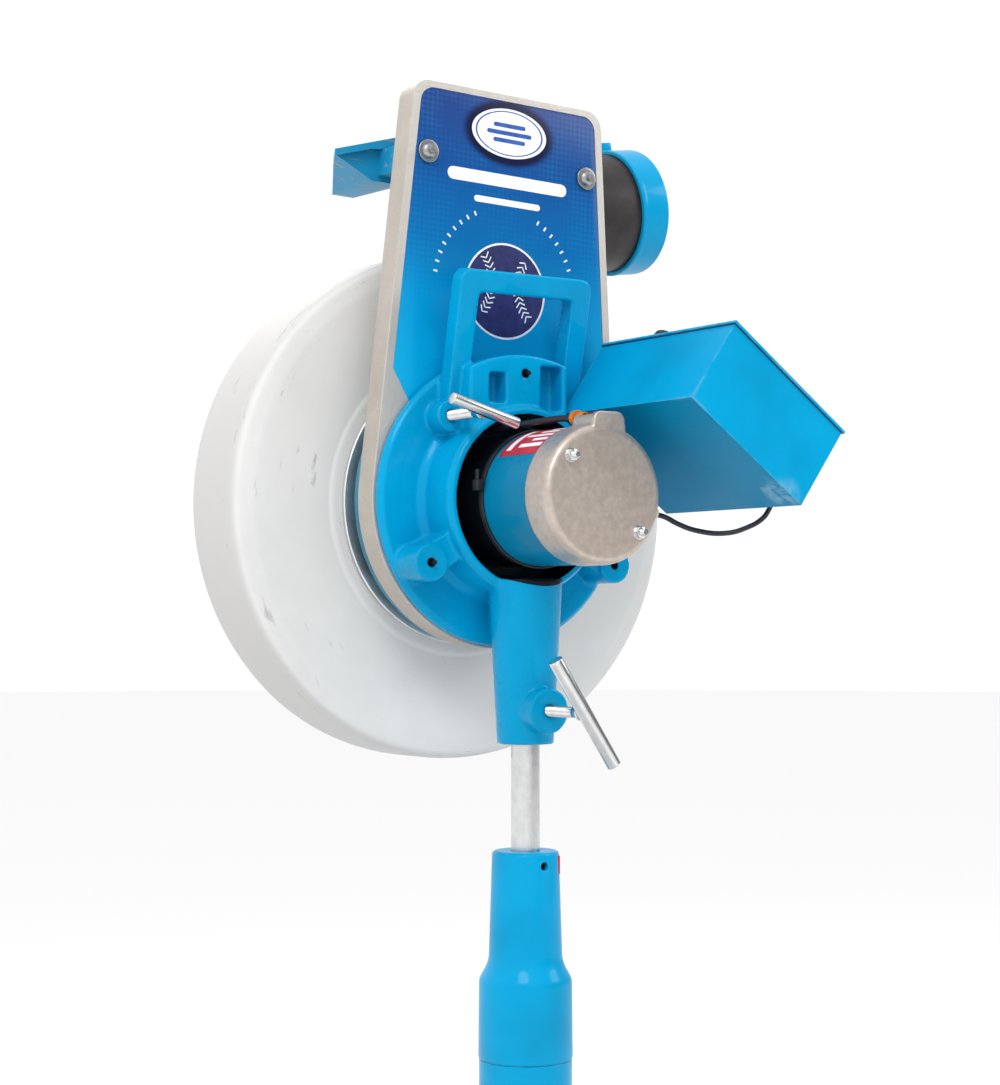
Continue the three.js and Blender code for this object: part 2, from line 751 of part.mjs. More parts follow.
// The printed panel's outline, grown by a margin: round top corners, flanks like the plate's, and a
// hollow foot that follows the casting's disc.
function panelOutline(grow) {
  const top = plateTop - panelTopMargin + grow;
  const half = (z) => flank(z) - panelMargin + grow;
  const corner = 12;
  const footRadiusOfPanel = discRadius - panelTuck - grow;
  const waist = 96;
  const footAngle = Math.atan2(74 - grow, 88 + grow);
  const shape = new THREE.Shape();
  shape.absarc(0, 0, footRadiusOfPanel, Math.PI - footAngle, footAngle, true);
  shape.lineTo(half(waist), waist);
  shape.lineTo(half(top - corner), top - corner);
  shape.absarc(half(top) - corner, top - corner, corner, 0, Math.PI / 2, false);
  shape.absarc(corner - half(top), top - corner, corner, Math.PI / 2, Math.PI, false);
  shape.lineTo(-half(waist), waist);
  shape.closePath();
  return shape;
}

function arcSlot(angle, halfSpan) {
  const r = clampScrewRadius + 1.2;
  const shape = new THREE.Shape();
  const [from, to] = [rad(angle - halfSpan), rad(angle + halfSpan)];
  shape.absarc(0, 0, lugCircle + r, from, to, false);
  const end = polar(lugCircle, angle + halfSpan);
  const start = polar(lugCircle, angle - halfSpan);
  shape.absarc(end[0], end[1], r, to, to + Math.PI, false);
  shape.absarc(0, 0, lugCircle - r, to, from, true);
  shape.absarc(start[0], start[1], r, from + Math.PI, from + Math.PI * 2, false);
  shape.closePath();
  return prismY(shape, -5, plateThickness + 5, 6);
}

function headPlate() {
  const body = prismY(tombstone(0, plateCorner), 0, plateThickness, 20);
  const recess = prismY(panelOutline(fit), -1, panelRecess, 10);
  const bore = barY(plateBoreRadius, -1, plateThickness + 1, [0, 0], 32);
  const pocket = prismY(outline([[-86, 136], [86, 136], [76, 236], [-76, 236]]), 9, plateThickness + 1);
  const screwHoles = [-1, 1].map((s) =>
    barY(plateScrewRadius + fit, -1, plateThickness + 1, [s * plateScrewX, plateScrewZ]));
  const slots = lugAngles.map((angle) => arcSlot(angle, 32));
  part(head, "head_plate", cut(body, recess, bore, pocket, ...screwHoles, ...slots), castAluminium);

  const panelFront = panelRecess - fit - panelThickness;
  const panel = prismY(panelOutline(0), panelFront, panelRecess - fit, 10);
  const panelHoles = [-1, 1].map((s) =>
    barY(plateScrewRadius + fit, -5, 5, [s * plateScrewX, plateScrewZ]));
  part(head, "front_panel", cut(panel, ...panelHoles), panelPrint);

  [-1, 1].forEach((s, i) => {
    const at = [s * plateScrewX, plateScrewZ];
    const washerBack = -fit;
    const screw = join(
      barY(9, washerBack - 1.6, washerBack, at, 16),
      barY(6.2, washerBack - 4.6, washerBack - 1, at),
      barY(plateScrewRadius, washerBack - 1, plateThickness + 12, at),
    );
    const socket = barY(2.6, washerBack - 6, washerBack - 2.4, at, 6);
    part(head, "panel_screw_" + (i + 1), screw.subtract(socket), zinc);
  });
}

headPlate();

// ---- ball path: pressure shoe and feed chute ---------------------------------------------------------

const shoeNear = 62;
const shoeFar = 130;
const shoeLip = 55; // the near face of the brim's turned-down lip
const shoeTrim = 28; // degrees; the far corner is trimmed back
const screwPocket = (s) =>
  barY(plateScrewRadius + fit, plateThickness, plateThickness + 13, [s * plateScrewX, plateScrewZ]);

function pressureShoe() {
  const side = outline([[-122.5, 268], [-87.5, 251.5], [-66, 251.5], [20, 283], [20, 313]]);
  const inside = outline([[-104, 270], [-84.5, 257], [-66, 256], [30, 290], [30, 308], [-60, 285]]);
  const shell = prismY(side, shoeNear, shoeFar).subtract(prismY(inside, shoeNear + 3, shoeFar - 3));
  const brimOutline = outline([[-125.5, 267], [-125.5, 270], [20, 316], [20, 313]]);
  const brim = prismY(brimOutline, shoeLip, shoeFar + 4);
  const lipOutline = outline([[-125, 265], [-125.5, 269], [20, 315], [20, 292], [-72, 277.5], [-92, 275]]);
  const lip = prismY(lipOutline, shoeLip, shoeLip + 3);
  const armNear = plateThickness + fit;
  const arm = block([-plateScrewX - 8, armNear, 256], [-plateScrewX + 18, shoeNear + 2, 276]);
  const trim = block([-300, -100, 200], [0, 300, 400])
    .rotate([0, 0, -shoeTrim])
    .translate([-125, shoeLip + 1, 0]);
  part(head, "pressure_shoe", cut(join(shell, brim, lip, arm), trim, screwPocket(-1)), bluePaint);

  const pad = outline([[-30, 264.3], [14, 280.4], [14, 276.4], [-30, 260.3]]);
  part(head, "pressure_pad", prismY(pad, shoeNear + 14, shoeFar - 14), blackRubber);
}

function feedChute() {
  const slope = rad(chuteSlope);
  const chute = new THREE.Group();
  chute.position.set(chuteEnd, wheelMid, chuteEndZ);
  chute.rotation.y = -slope;
  head.add(chute);
  const run = (chuteEnd - chuteStart) / Math.cos(slope);
  // along the chute's own axis x is 0 at the mouth and negative towards the wheel
  const tube = turnedX([
    [chuteRadius - chuteWall, -run],
    [chuteRadius, -run],
    [chuteRadius, -1],
    [chuteRadius - chuteWall, -1],
  ], 32);
  part(chute, "chute_tube", tube, blackPlastic);

  const ringInnerRadius = chuteRadius + fit;
  const ringOuterRadius = ringInnerRadius + bandSheet;
  const band = turnedX([
    [ringInnerRadius, -bandWidth],
    [ringOuterRadius, -bandWidth],
    [ringOuterRadius, 0],
    [ringInnerRadius, 0],
  ], 32);
  const ear = block([-bandWidth + 1, -4, ringInnerRadius + 1], [-bandWidth + 11, 4, ringOuterRadius + 7]);
  part(chute, "chute_band", join(band, ear), bluePaint);

  // the cradle clamps the tube just behind the head plate's edge, with a foot on the plate's back
  const cradleFrom = -run + 4;
  const cradle = turnedX([
    [ringInnerRadius, cradleFrom],
    [ringOuterRadius, cradleFrom],
    [ringOuterRadius, cradleFrom + 16],
    [ringInnerRadius, cradleFrom + 16],
  ], 32);
  const [footNear, footFar] = [plateThickness + fit, plateThickness + 13];
  const footBlock = block([plateScrewX - 12, footNear, 254], [plateScrewX + 12, footFar, 278]);
  const inHead = (body) => body.rotate([0, -chuteSlope, 0]).translate([chuteEnd, wheelMid, chuteEndZ]);
  const ringPlaced = inHead(cradle);
  const boreProfile = [[0, -run - 40], [ringInnerRadius, -run - 40], [ringInnerRadius, 20], [0, 20]];
  const boreClear = inHead(turnedX(boreProfile, 32));
  const arm = block([plateScrewX - 6, plateThickness + 6, 256], [plateScrewX + 12, wheelMid - 20, 276]);
  const cradleBody = cut(join(ringPlaced, footBlock, arm), boreClear, screwPocket(1));
  part(head, "chute_cradle", cradleBody, bluePaint);
}

pressureShoe();
feedChute();

// ---- control box -------------------------------------------------------------------------------------

const lidFace = boxDepth + fit + lidThickness;
const glandY = -122;
const glandZ = 26;
const glandNeck = 4.9;
const inletY = -80;

function controlBox() {
  const outer = block([0, boxNear, 0], [boxLength, boxFar, boxDepth]);
  const inner = block(
    [boxWall, boxNear + boxWall, boxWall],
    [boxLength - boxWall, boxFar - boxWall, boxDepth + 1],
  );
  const toBox = ([x, z]) => {
    const [dx, dz] = [x - boxCorner[0], z - boxCorner[1]];
    const [c, s] = [Math.cos(rad(boxTurn)), Math.sin(rad(boxTurn))];
    return [dx * c - dz * s, dx * s + dz * c];
  };
  const places = boxScrews.map(toBox);
  const screwHoles = places.map((at) => barY(3.3, boxFar - 10, boxFar + 10, at));
  const glandTool = turnedX([[0, -8], [glandNeck + fit, -8], [glandNeck + fit, 8], [0, 8]], 20);
  const glandHole = glandTool.translate([boxLength, glandY, glandZ]);
  const inletHole = block([boxLength - 5, inletY - 14, 22], [boxLength + 5, inletY + 14, 46]);
  part(box, "control_box", cut(outer, inner, glandHole, inletHole, ...screwHoles), bluePaint);

  places.forEach((at, i) => {
    const cap = barY(5.4, boxFar - boxWall - 4.5, boxFar - boxWall - fit, at);
    const shank = barY(2.9, boxFar - boxWall - 1, boxFar + 14, at);
    part(box, "box_screw_" + (i + 1), join(cap, shank), zinc);
  });

  const lid = block(
    [-lidOverhang, boxNear - lidOverhang, boxDepth + fit],
    [boxLength + lidOverhang, boxFar + lidOverhang, lidFace],
  );
  const knobPlaces = [[24, knobRow], [70, knobRow]];
  const knobHoles = knobPlaces.map((at) => barZ(3.4, 50, 90, at, 16));
  const switchAt = [104, knobRow];
  // a block centred on the switch, by its half sizes and its two heights
  const atSwitch = (halfX, halfY, z0, z1) =>
    block([switchAt[0] - halfX, switchAt[1] - halfY, z0], [switchAt[0] + halfX, switchAt[1] + halfY, z1]);
  const switchHole = atSwitch(7, 11, 50, 90);
  part(box, "box_lid", cut(lid, switchHole, ...knobHoles), bluePaint);

  knobPlaces.forEach((at, i) => {
    const from = lidFace + fit;
    const knob = turnedZ([
      [0, from - 12],
      [3, from - 12],
      [3, from],
      [knobRadius, from],
      [knobRadius, from + 3],
      [knobRadius - 2.5, from + knobHeight - 2],
      [knobRadius - 4.5, from + knobHeight],
      [0, from + knobHeight],
    ], 16).translate([at[0], at[1], 0]);
    const crest = from + knobHeight;
    const pointer = block([at[0] - 1, at[1] + 4, crest - 1], [at[0] + 1, at[1] + 8.5, crest + 0.8]);
    part(box, ["speed_knob", "changeup_knob"][i], join(knob, pointer), blackPlastic);
  });

  const bezelOuter = atSwitch(9, 13, lidFace + fit, lidFace + 2.3);
  const bezelBody = atSwitch(7 - fit, 11 - fit, lidFace - 16, lidFace + 2);
  const bezelRoom = atSwitch(5.2, 9.2, lidFace - 9, lidFace + 9);
  part(box, "switch_bezel", cut(join(bezelOuter, bezelBody), bezelRoom), blackPlastic);
  const rockerProfile = [[-8, -4.5], [8, -4.5], [8, 1.5], [0, 0.2], [-8, 4]];
  const rocker = prismX(rockerProfile, -4.6, 4.6).translate([switchAt[0], switchAt[1], lidFace]);
  part(box, "power_rocker", rocker, blackPlastic);

  const board = block([10, boxNear + 12, 10], [boxLength - 12, boxFar - 24, 12]);
  const heatSink = block([20, boxNear + 24, 11], [46, boxNear + 84, 40]);
  const capacitor = barZ(12, 11, 40, [80, boxNear + 40], 24);
  const relay = block([66, boxNear + 74, 11], [98, boxNear + 96, 30]);
  part(box, "circuit_board", join(board, heatSink, capacitor, relay), boardGreen);

  const inletFlange = block([boxLength + fit, inletY - 17, 19], [boxLength + 3, inletY + 17, 49]);
  const inletBody = block([boxLength - 16, inletY - 13.5, 22.5], [boxLength + 2, inletY + 13.5, 45.5]);
  const inletRoom = block([boxLength - 13, inletY - 11, 25.5], [boxLength + 9, inletY + 11, 42.5]);
  part(box, "power_inlet", cut(join(inletFlange, inletBody), inletRoom), blackPlastic);

  const glandBore = motorCableRadius + fit;
  const gland = turnedX([
    [glandBore, -boxWall - 4],
    [glandNeck, -boxWall - 4],
    [glandNeck, fit],
    [7.5, fit],
    [7.5, 4],
    [5, 11],
    [glandBore, 11],
  ], 12).translate([boxLength, glandY, glandZ]);
  part(box, "cable_gland", gland, blackPlastic);
}

// A [y, z] outline extruded along X from x0 to x1.
function prismX(points, x0, x1) {
  const shape = new THREE.Shape(points.map(([y, z]) => new THREE.Vector2(y, z)));
  const options = { depth: x1 - x0, bevelEnabled: false };
  const geometry = new THREE.ExtrudeGeometry(shape, options);
  return solid(geometry.rotateX(Math.PI / 2).rotateZ(Math.PI / 2).translate(x0, 0, 0));
}

controlBox();

// ---- the lead from the control box to the motor ------------------------------------------------------

function motorLead() {
  const bore = motorCableRadius + fit;
  // the clip's flange stands on the bell, and its collar passes through the bell's wall
  const [root, seat, top] = [canRadius - 5, canRadius + 1, canRadius + 9];
  const clip = turnedZ([[bore, seat], [5.6, seat], [5.6, top], [bore, top]], 12);
  const collar = turnedZ([[bore, root], [clipCollar, root], [clipCollar, seat + 1], [bore, seat + 1]], 12);
  const placed = join(clip, collar).translate([0, cableGlandY, 0]).rotate([0, 90 - cableGlandAngle, 0]);
  part(machine, "motor_cable_clip", placed, creamPlastic);
  const [sin, cos] = [Math.sin(rad(boxTurn)), Math.cos(rad(boxTurn))];
  const fromBox = (x, z) => [boxCorner[0] + x * cos + z * sin, boxCorner[1] - x * sin + z * cos];
  const atGland = (x) => {
    const [machineX, machineZ] = fromBox(x, glandZ);
    return [machineX, glandY, machineZ];
  };
  const fromMotor = (radius) => {
    const [x, z] = polar(radius, cableGlandAngle);
    return [x, cableGlandY, z];
  };
  const route = [
    atGland(boxLength - 6),
    atGland(boxLength + 3),
    atGland(boxLength + 9),
    atGland(boxLength + 12.5),
    [172.5, -122.5, 0],
    [167.5, -124, -8.5],
    [160, -125, -14.5],
    [148, -125, -20],
    [127, -125, -25.2],
    [97, -125, -24],
    [80, -124.5, -19.5],
    fromMotor(canRadius + 18),
    fromMotor(canRadius + 10),
    fromMotor(canRadius + 4),
    fromMotor(canRadius - 2.5),
  ];
  part(machine, "motor_cable", cordAlong(route, motorCableRadius, 34, 8), blackPlastic);
}

motorLead();

export default pitchingMachine;
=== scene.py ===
import json
import math

import bmesh
import bpy
from bpy.props import FloatProperty, FloatVectorProperty, IntProperty, PointerProperty
from mathutils import Matrix, Vector


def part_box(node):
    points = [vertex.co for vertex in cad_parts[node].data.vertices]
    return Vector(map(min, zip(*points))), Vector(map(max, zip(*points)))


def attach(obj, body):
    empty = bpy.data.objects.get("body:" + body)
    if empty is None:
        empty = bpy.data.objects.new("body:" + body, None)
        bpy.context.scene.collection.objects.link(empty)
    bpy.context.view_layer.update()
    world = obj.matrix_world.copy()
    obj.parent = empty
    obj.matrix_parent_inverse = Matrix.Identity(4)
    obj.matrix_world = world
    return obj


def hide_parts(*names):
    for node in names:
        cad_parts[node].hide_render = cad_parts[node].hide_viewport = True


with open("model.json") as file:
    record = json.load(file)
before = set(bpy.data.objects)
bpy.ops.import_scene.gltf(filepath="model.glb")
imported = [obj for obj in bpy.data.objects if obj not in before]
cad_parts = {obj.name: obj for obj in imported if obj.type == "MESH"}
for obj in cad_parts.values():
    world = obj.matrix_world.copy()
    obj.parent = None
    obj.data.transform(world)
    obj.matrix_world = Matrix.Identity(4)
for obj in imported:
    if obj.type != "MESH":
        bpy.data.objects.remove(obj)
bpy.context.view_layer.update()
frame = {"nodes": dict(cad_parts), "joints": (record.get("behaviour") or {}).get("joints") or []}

bl_info = {
    "name": "Ball pitching machine",
    "version": (1, 0, 0),
    "blender": (4, 5, 0),
    "location": "3D View > Sidebar > Pitching",
    "description": "Builds the finished pieces and materials of a single-wheel ball pitching machine",
    "category": "Object",
}

# ---- places ------------------------------------------------------------------------------------------
# The pieces are laid out in millimetres around the wheel's axle: X along the ball's path, Y along the
# axle from the motor to the wheel, Z up, with y = 0 at the head plate's front face.

JOINTS = {joint["name"]: joint for joint in frame["joints"]}
AXLE = Vector(JOINTS["wheel_spin"]["pos_m"])
MM = 0.001
HEAD_LEAN = 2.0
BOX_TURN = 36.0
CHUTE_SLOPE = 10.0


def turn(axis, degrees):
    """A rotation about X, Y or Z."""
    return Matrix.Rotation(math.radians(degrees), 4, axis)


def shift(x=0.0, y=0.0, z=0.0):
    """A move in millimetres."""
    return Matrix.Translation((x, y, z))


def span(node):
    """The lowest and highest corner of a CAD node, in millimetres around the axle."""
    low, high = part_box(node)
    return (low - AXLE) / MM, (high - AXLE) / MM


MACHINE = Matrix.Translation(AXLE) @ Matrix.Scale(MM, 4)
HEAD = MACHINE @ turn("Y", HEAD_LEAN)
UPRIGHT = turn("X", 90)  # what was turned about Y stands along Z
ALONG_X = turn("Z", -90)  # what was turned about Y lies along X

TYRE_LOW, TYRE_HIGH = span("tyre")
TYRE_RADIUS = (TYRE_HIGH.z - TYRE_LOW.z) / 2
TYRE_MID = (TYRE_LOW.y + TYRE_HIGH.y) / 2
LUG_CIRCLE = 97.5
LUG_ANGLES = (90, 210, 330)
LUG_FACE = -38
BORE_RADIUS = 65.4
BOX_CORNER = (41, 69)
GLAND_AT = (-122, 26)  # y and z on the control box's end
INLET_Y = -80
KNOB_ROW = -68
CLIP_Y = -124  # the motor cable enters the bell here
CLIP_ANGLE = -12
SCUFF_AT = (129, -178, 0)  # on the box's underside
STREAK_AT = (42, -190, 70)  # on the fold beside the motor
BOX = MACHINE @ shift(BOX_CORNER[0], 0, BOX_CORNER[1]) @ turn("Y", BOX_TURN)
CHUTE = HEAD @ shift(190, TYRE_MID, 269) @ turn("Y", -CHUTE_SLOPE)


# ---- settings ----------------------------------------------------------------------------------------

class PITCHING_PG_sizes(bpy.types.PropertyGroup):
    """Sizes of the finish that the frame leaves open."""

    turned_steps: IntProperty(
        name="Turned steps", description="Faces around a turned piece", default=96, min=24, max=256
    )
    casting_voxel: FloatProperty(
        name="Casting voxel",
        description="Grid size that rounds the swivel casting's inner corners",
        default=0.0012, min=0.0008, max=0.004, subtype="DISTANCE", unit="LENGTH",
    )
    fillet_passes: IntProperty(
        name="Fillet passes", description="Smoothing passes over a casting", default=5, min=0, max=60
    )
    edge_break: FloatProperty(
        name="Edge break", description="Radius of a broken edge on made parts",
        default=0.0006, min=0.0001, max=0.003, subtype="DISTANCE", unit="LENGTH",
    )
    lead_diameter: FloatProperty(
        name="Motor cable", description="Diameter of the cable from the box to the motor",
        default=0.004, min=0.003, max=0.01, subtype="DISTANCE", unit="LENGTH",
    )


class PITCHING_PG_colours(bpy.types.PropertyGroup):
    """Colours of the paint, the tyre and the light."""

    enamel: FloatVectorProperty(
        name="Enamel", description="Blue stove enamel", subtype="COLOR", size=3,
        default=(0.0, 0.33, 0.62), min=0, max=1,
    )
    tyre: FloatVectorProperty(
        name="Tyre", description="White rubber", subtype="COLOR", size=3,
        default=(0.73, 0.73, 0.72), min=0, max=1,
    )
    key_power: FloatProperty(
        name="Key light", description="Power of the large soft light", default=75.0, min=0, unit="POWER"
    )
    sky: FloatProperty(name="Sky", description="Strength of the even light all round", default=1.05, min=0)


def sizes():
    """The size settings."""
    return bpy.context.scene.pitching_sizes


def colours():
    """The colour settings."""
    return bpy.context.scene.pitching_colours


# ---- shaping -----------------------------------------------------------------------------------------

def turned(profile, steps=None, start=0.0, sweep=360.0):
    """A closed body turned about Y from [radius, along] points; a third number eases that corner."""
    steps = steps or sizes().turned_steps
    bm = bmesh.new()
    points = [bm.verts.new((p[0], p[1], 0)) for p in profile]
    for a, b in zip(points, points[1:]):
        bm.edges.new((a, b))
    if profile[0][0] > 0 or profile[-1][0] > 0:
        bm.edges.new((points[-1], points[0]))
    eased = {}
    for vert, p in zip(points, profile):
        if len(p) > 2:
            eased.setdefault(p[2], []).append(vert)
    for radius, verts in eased.items():
        bmesh.ops.bevel(
            bm, geom=verts, offset=radius, offset_type="OFFSET", segments=4, profile=0.5,
            affect="VERTICES", material=-1, clamp_overlap=True,
        )
    whole = sweep >= 360
    bmesh.ops.rotate(bm, verts=bm.verts, cent=(0, 0, 0), matrix=Matrix.Rotation(math.radians(start), 3, (0, -1, 0)))
    bmesh.ops.spin(
        bm, geom=bm.verts[:] + bm.edges[:], cent=(0, 0, 0), axis=(0, -1, 0), dvec=(0, 0, 0),
        angle=math.radians(sweep), steps=steps, use_merge=whole, use_duplicate=False,
    )
    bmesh.ops.remove_doubles(bm, verts=bm.verts, dist=1e-3)
    if not whole:
        bmesh.ops.holes_fill(bm, edges=[e for e in bm.edges if e.is_boundary], sides=0)
    bmesh.ops.recalc_face_normals(bm, faces=bm.faces)
    return bm


def break_edges(bm, radius, segments=2, sharper_than=30):
    """Rounds every edge that turns by more than an angle."""
    limit = math.radians(sharper_than)
    edges = [e for e in bm.edges if len(e.link_faces) == 2 and e.calc_face_angle(0) > limit]
    if edges and radius > 0:
        bmesh.ops.bevel(
            bm, geom=edges, offset=radius, offset_type="OFFSET", segments=segments, profile=0.5,
            affect="EDGES", material=-1, clamp_overlap=True,
        )
    return bm


def slab(points, near, far, radius=0.5, segments=2):
    """An outline in x and z, extruded along Y, with its edges broken."""
    bm = bmesh.new()
    face = bm.faces.new([bm.verts.new((x, near, z)) for x, z in points])
    grown = bmesh.ops.extrude_face_region(bm, geom=[face])["geom"]
    verts = [g for g in grown if isinstance(g, bmesh.types.BMVert)]
    bmesh.ops.translate(bm, verts=verts, vec=(0, far - near, 0))
    bmesh.ops.recalc_face_normals(bm, faces=bm.faces)
    return break_edges(bm, radius, segments)


def brick(low, high, radius=0.5, segments=2):
    """A box between two corners with broken edges."""
    bm = bmesh.new()
    low, high = Vector(low), Vector(high)
    bmesh.ops.create_cube(bm, size=1)
    bmesh.ops.scale(bm, verts=bm.verts, vec=high - low)
    bmesh.ops.translate(bm, verts=bm.verts, vec=(low + high) / 2)
    return break_edges(bm, radius, segments)


def bar(radius, start, end, ease=0.6, steps=48):
    """A round bar along Y with eased ends."""
    return turned([(0, start), (radius, start, ease), (radius, end, ease), (0, end)], steps)


def hexagon(across, start, end, bore=0.0):
    """A hexagon nut or head along Y with chamfered corners."""
    radius = across / math.sqrt(3)
    profile = [(bore, start), (radius, start), (radius, end), (bore, end)]
    return break_edges(turned(profile, 6), 0.35, 2, 40)


def thread(radius, pitch, start, end):
    """The [radius, along] points of a threaded stretch, as rings a pitch apart."""
    turns = int((end - start) / pitch)
    points = []
    for k in range(turns):
        points += [(radius, start + k * pitch), (radius - 0.55 * pitch, start + (k + 0.5) * pitch)]
    return points + [(radius, start + turns * pitch)]


def put(bm, *places):
    """Moves a body by one or more matrices, the last one first."""
    whole = Matrix.Identity(4)
    for place in places:
        whole = whole @ place
    bmesh.ops.transform(bm, matrix=whole, verts=bm.verts)
    return bm


def at(x, z):
    """A move across the axle's direction."""
    return shift(x, 0, z)


def polar(radius, degrees):
    """The x and z at a radius and an angle about the axle."""
    return radius * math.cos(math.radians(degrees)), radius * math.sin(math.radians(degrees))


def arc(centre, radius, start, end, count):
    """Points of an arc in x and z, angles in degrees."""
    step = (end - start) / count
    places = [polar(radius, start + step * k) for k in range(count + 1)]
    return [(centre[0] + x, centre[1] + z) for x, z in places]


def piece(name, bodies, finish, body, replaces=(), place=MACHINE, sharp=35, even=False):
    """Joins bodies into one finished mesh that rides on a CAD body and takes a material."""
    mesh = bpy.data.meshes.new(name)
    whole = bmesh.new()
    for bm in bodies:
        bm.to_mesh(mesh)
        bm.free()
        whole.from_mesh(mesh)
    bmesh.ops.transform(whole, matrix=place, verts=whole.verts)
    whole.to_mesh(mesh)
    whole.free()
    return finished(name, mesh, finish, body, replaces, sharp, even)


def finished(name, mesh, finish, body, replaces=(), sharp=35, even=False):
    """Links a mesh whose place is in its vertices, and says what it rides on and stands for."""
    mesh.shade_smooth()
    mesh.set_sharp_from_angle(angle=math.radians(sharp))
    mesh.materials.clear()
    mesh.materials.append(finish)
    made = bpy.data.objects.new(name, mesh)
    bpy.context.scene.collection.objects.link(made)
    if even:
        made.modifiers.new("even_normals", "WEIGHTED_NORMAL").keep_sharp = True
    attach(made, body)
    if replaces:
        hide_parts(*replaces)
    return made


def merged_copy(node, flat_within=1.0):
    """A CAD node's mesh with its loose triangles merged and its flat faces made whole."""
    bm = bmesh.new()
    bm.from_mesh(frame["nodes"][node].data)
    bmesh.ops.remove_doubles(bm, verts=bm.verts, dist=2e-6)
    if flat_within:
        bmesh.ops.dissolve_limit(
            bm, angle_limit=math.radians(flat_within), verts=bm.verts, edges=bm.edges,
            use_dissolve_boundaries=False,
        )
    return bm


def made_part(node, finish, body, radius=None, segments=2, sharp=32):
    """A made part that keeps its CAD shape, with its edges broken."""
    radius = sizes().edge_break if radius is None else radius
    bm = break_edges(merged_copy(node), radius, segments, 34)
    mesh = bpy.data.meshes.new(node + "_made")
    bm.to_mesh(mesh)
    bm.free()
    return finished(node + "_made", mesh, finish, body, (node,), sharp, True)


def applied(made):
    """Applies an object's modifiers, so that the result is its mesh."""
    bpy.context.view_layer.update()
    graph = bpy.context.evaluated_depsgraph_get()
    mesh = bpy.data.meshes.new_from_object(made.evaluated_get(graph), depsgraph=graph)
    made.modifiers.clear()
    made.data = mesh
    return made


def cast_part(name, bodies, voxel, passes, finish, body, replaces, place=MACHINE):
    """Overlapping bodies grown into one casting with rounded inner corners."""
    made = piece(name, bodies, finish, body, replaces, place)
    grid = made.modifiers.new("grid", "REMESH")
    grid.mode = "VOXEL"
    grid.voxel_size = voxel
    grid.use_smooth_shade = True
    relax = made.modifiers.new("relax", "SMOOTH")
    relax.factor = 0.5
    relax.iterations = passes
    applied(made)
    made.data.shade_smooth()
    return made


def cut_out(made, cutters, place=MACHINE):
    """Cuts bodies out of a finished piece."""
    for bm in cutters:
        mesh = bpy.data.meshes.new("cutter")
        bmesh.ops.transform(bm, matrix=place, verts=bm.verts)
        bm.to_mesh(mesh)
        bm.free()
        cutter = bpy.data.objects.new("cutter", mesh)
        bpy.context.scene.collection.objects.link(cutter)
        cut = made.modifiers.new("cut", "BOOLEAN")
        cut.operation = "DIFFERENCE"
        cut.solver = "EXACT"
        cut.object = cutter
        applied(made)
        bpy.data.objects.remove(cutter)
    return made


# ---- materials ---------------------------------------------------------------------------------------

def linear(code):
    """An sRGB hex colour as linear RGBA."""
    parts = [int(code[i:i + 2], 16) / 255 for i in (1, 3, 5)]
    return [c / 12.92 if c <= 0.04045 else ((c + 0.055) / 1.055) ** 2.4 for c in parts] + [1.0]


def add(tree, kind, inputs=None, **settings):
    """Adds a node with its settings, and sets or links its inputs by name or number."""
    made = tree.nodes.new(kind)
    for key, value in settings.items():
        setattr(made, key, value)
    for key, value in (inputs or {}).items():
        if isinstance(value, bpy.types.NodeSocket):
            tree.links.new(value, made.inputs[key])
        else:
            made.inputs[key].default_value = value
    return made


def ramp(tree, factor, *stops):
    """A colour ramp from (place, colour) stops."""
    made = add(tree, "ShaderNodeValToRGB", {"Fac": factor})
    elements = made.color_ramp.elements
    while len(elements) < len(stops):
        elements.new(0.5)
    for element, (place, colour) in zip(elements, stops):
        element.position = place
        element.color = colour
    return made.outputs["Color"]


def surface(name, **sockets):
    """A material with its shader, its object coordinates and a few sockets set."""
    material = bpy.data.materials.new(name)
    material.use_nodes = True
    tree = material.node_tree
    shader = tree.nodes["Principled BSDF"]
    for key, value in sockets.items():
        shader.inputs[key.replace("_", " ")].default_value = value
    place = add(tree, "ShaderNodeTexCoord").outputs["Object"]
    return material, tree, shader, place


def noise(tree, place, size_mm, detail=3.0, roughness=0.5, stretch=None):
    """A noise whose lumps are about size_mm across; stretch lengthens it along x, y or z."""
    if stretch:
        scale = [1.0 / s for s in stretch]
        place = add(tree, "ShaderNodeMapping", {"Vector": place, "Scale": scale}).outputs[0]
    inputs = {"Vector": place, "Scale": 1000.0 / size_mm, "Detail": detail, "Roughness": roughness}
    return add(tree, "ShaderNodeTexNoise", inputs).outputs["Fac"]


def relief(tree, shader, height, depth_mm, strength=1.0):
    """Bumps the surface by a height of depth_mm."""
    inputs = {"Height": height, "Distance": depth_mm * MM, "Strength": strength}
    tree.links.new(add(tree, "ShaderNodeBump", inputs).outputs["Normal"], shader.inputs["Normal"])


def paint(tree, shader, socket, colour):
    """Links a colour or number to the shader."""
    tree.links.new(colour, shader.inputs[socket])


def mixed(tree, factor, a, b, blend="MIX"):
    """One colour over another by a factor."""
    made = add(tree, "ShaderNodeMix", {"Factor": factor, 6: a, 7: b}, data_type="RGBA", blend_type=blend)
    return made.outputs[2]


def step(tree, value, low, high):
    """A number that rises smoothly from 0 at low to 1 at high."""
    inputs = {"Value": value, "From Min": low, "From Max": high}
    return add(tree, "ShaderNodeMapRange", inputs, interpolation_type="SMOOTHSTEP").outputs["Result"]


def product(tree, a, b):
    """One number times another."""
    return add(tree, "ShaderNodeMath", {0: a, 1: b}, operation="MULTIPLY").outputs[0]


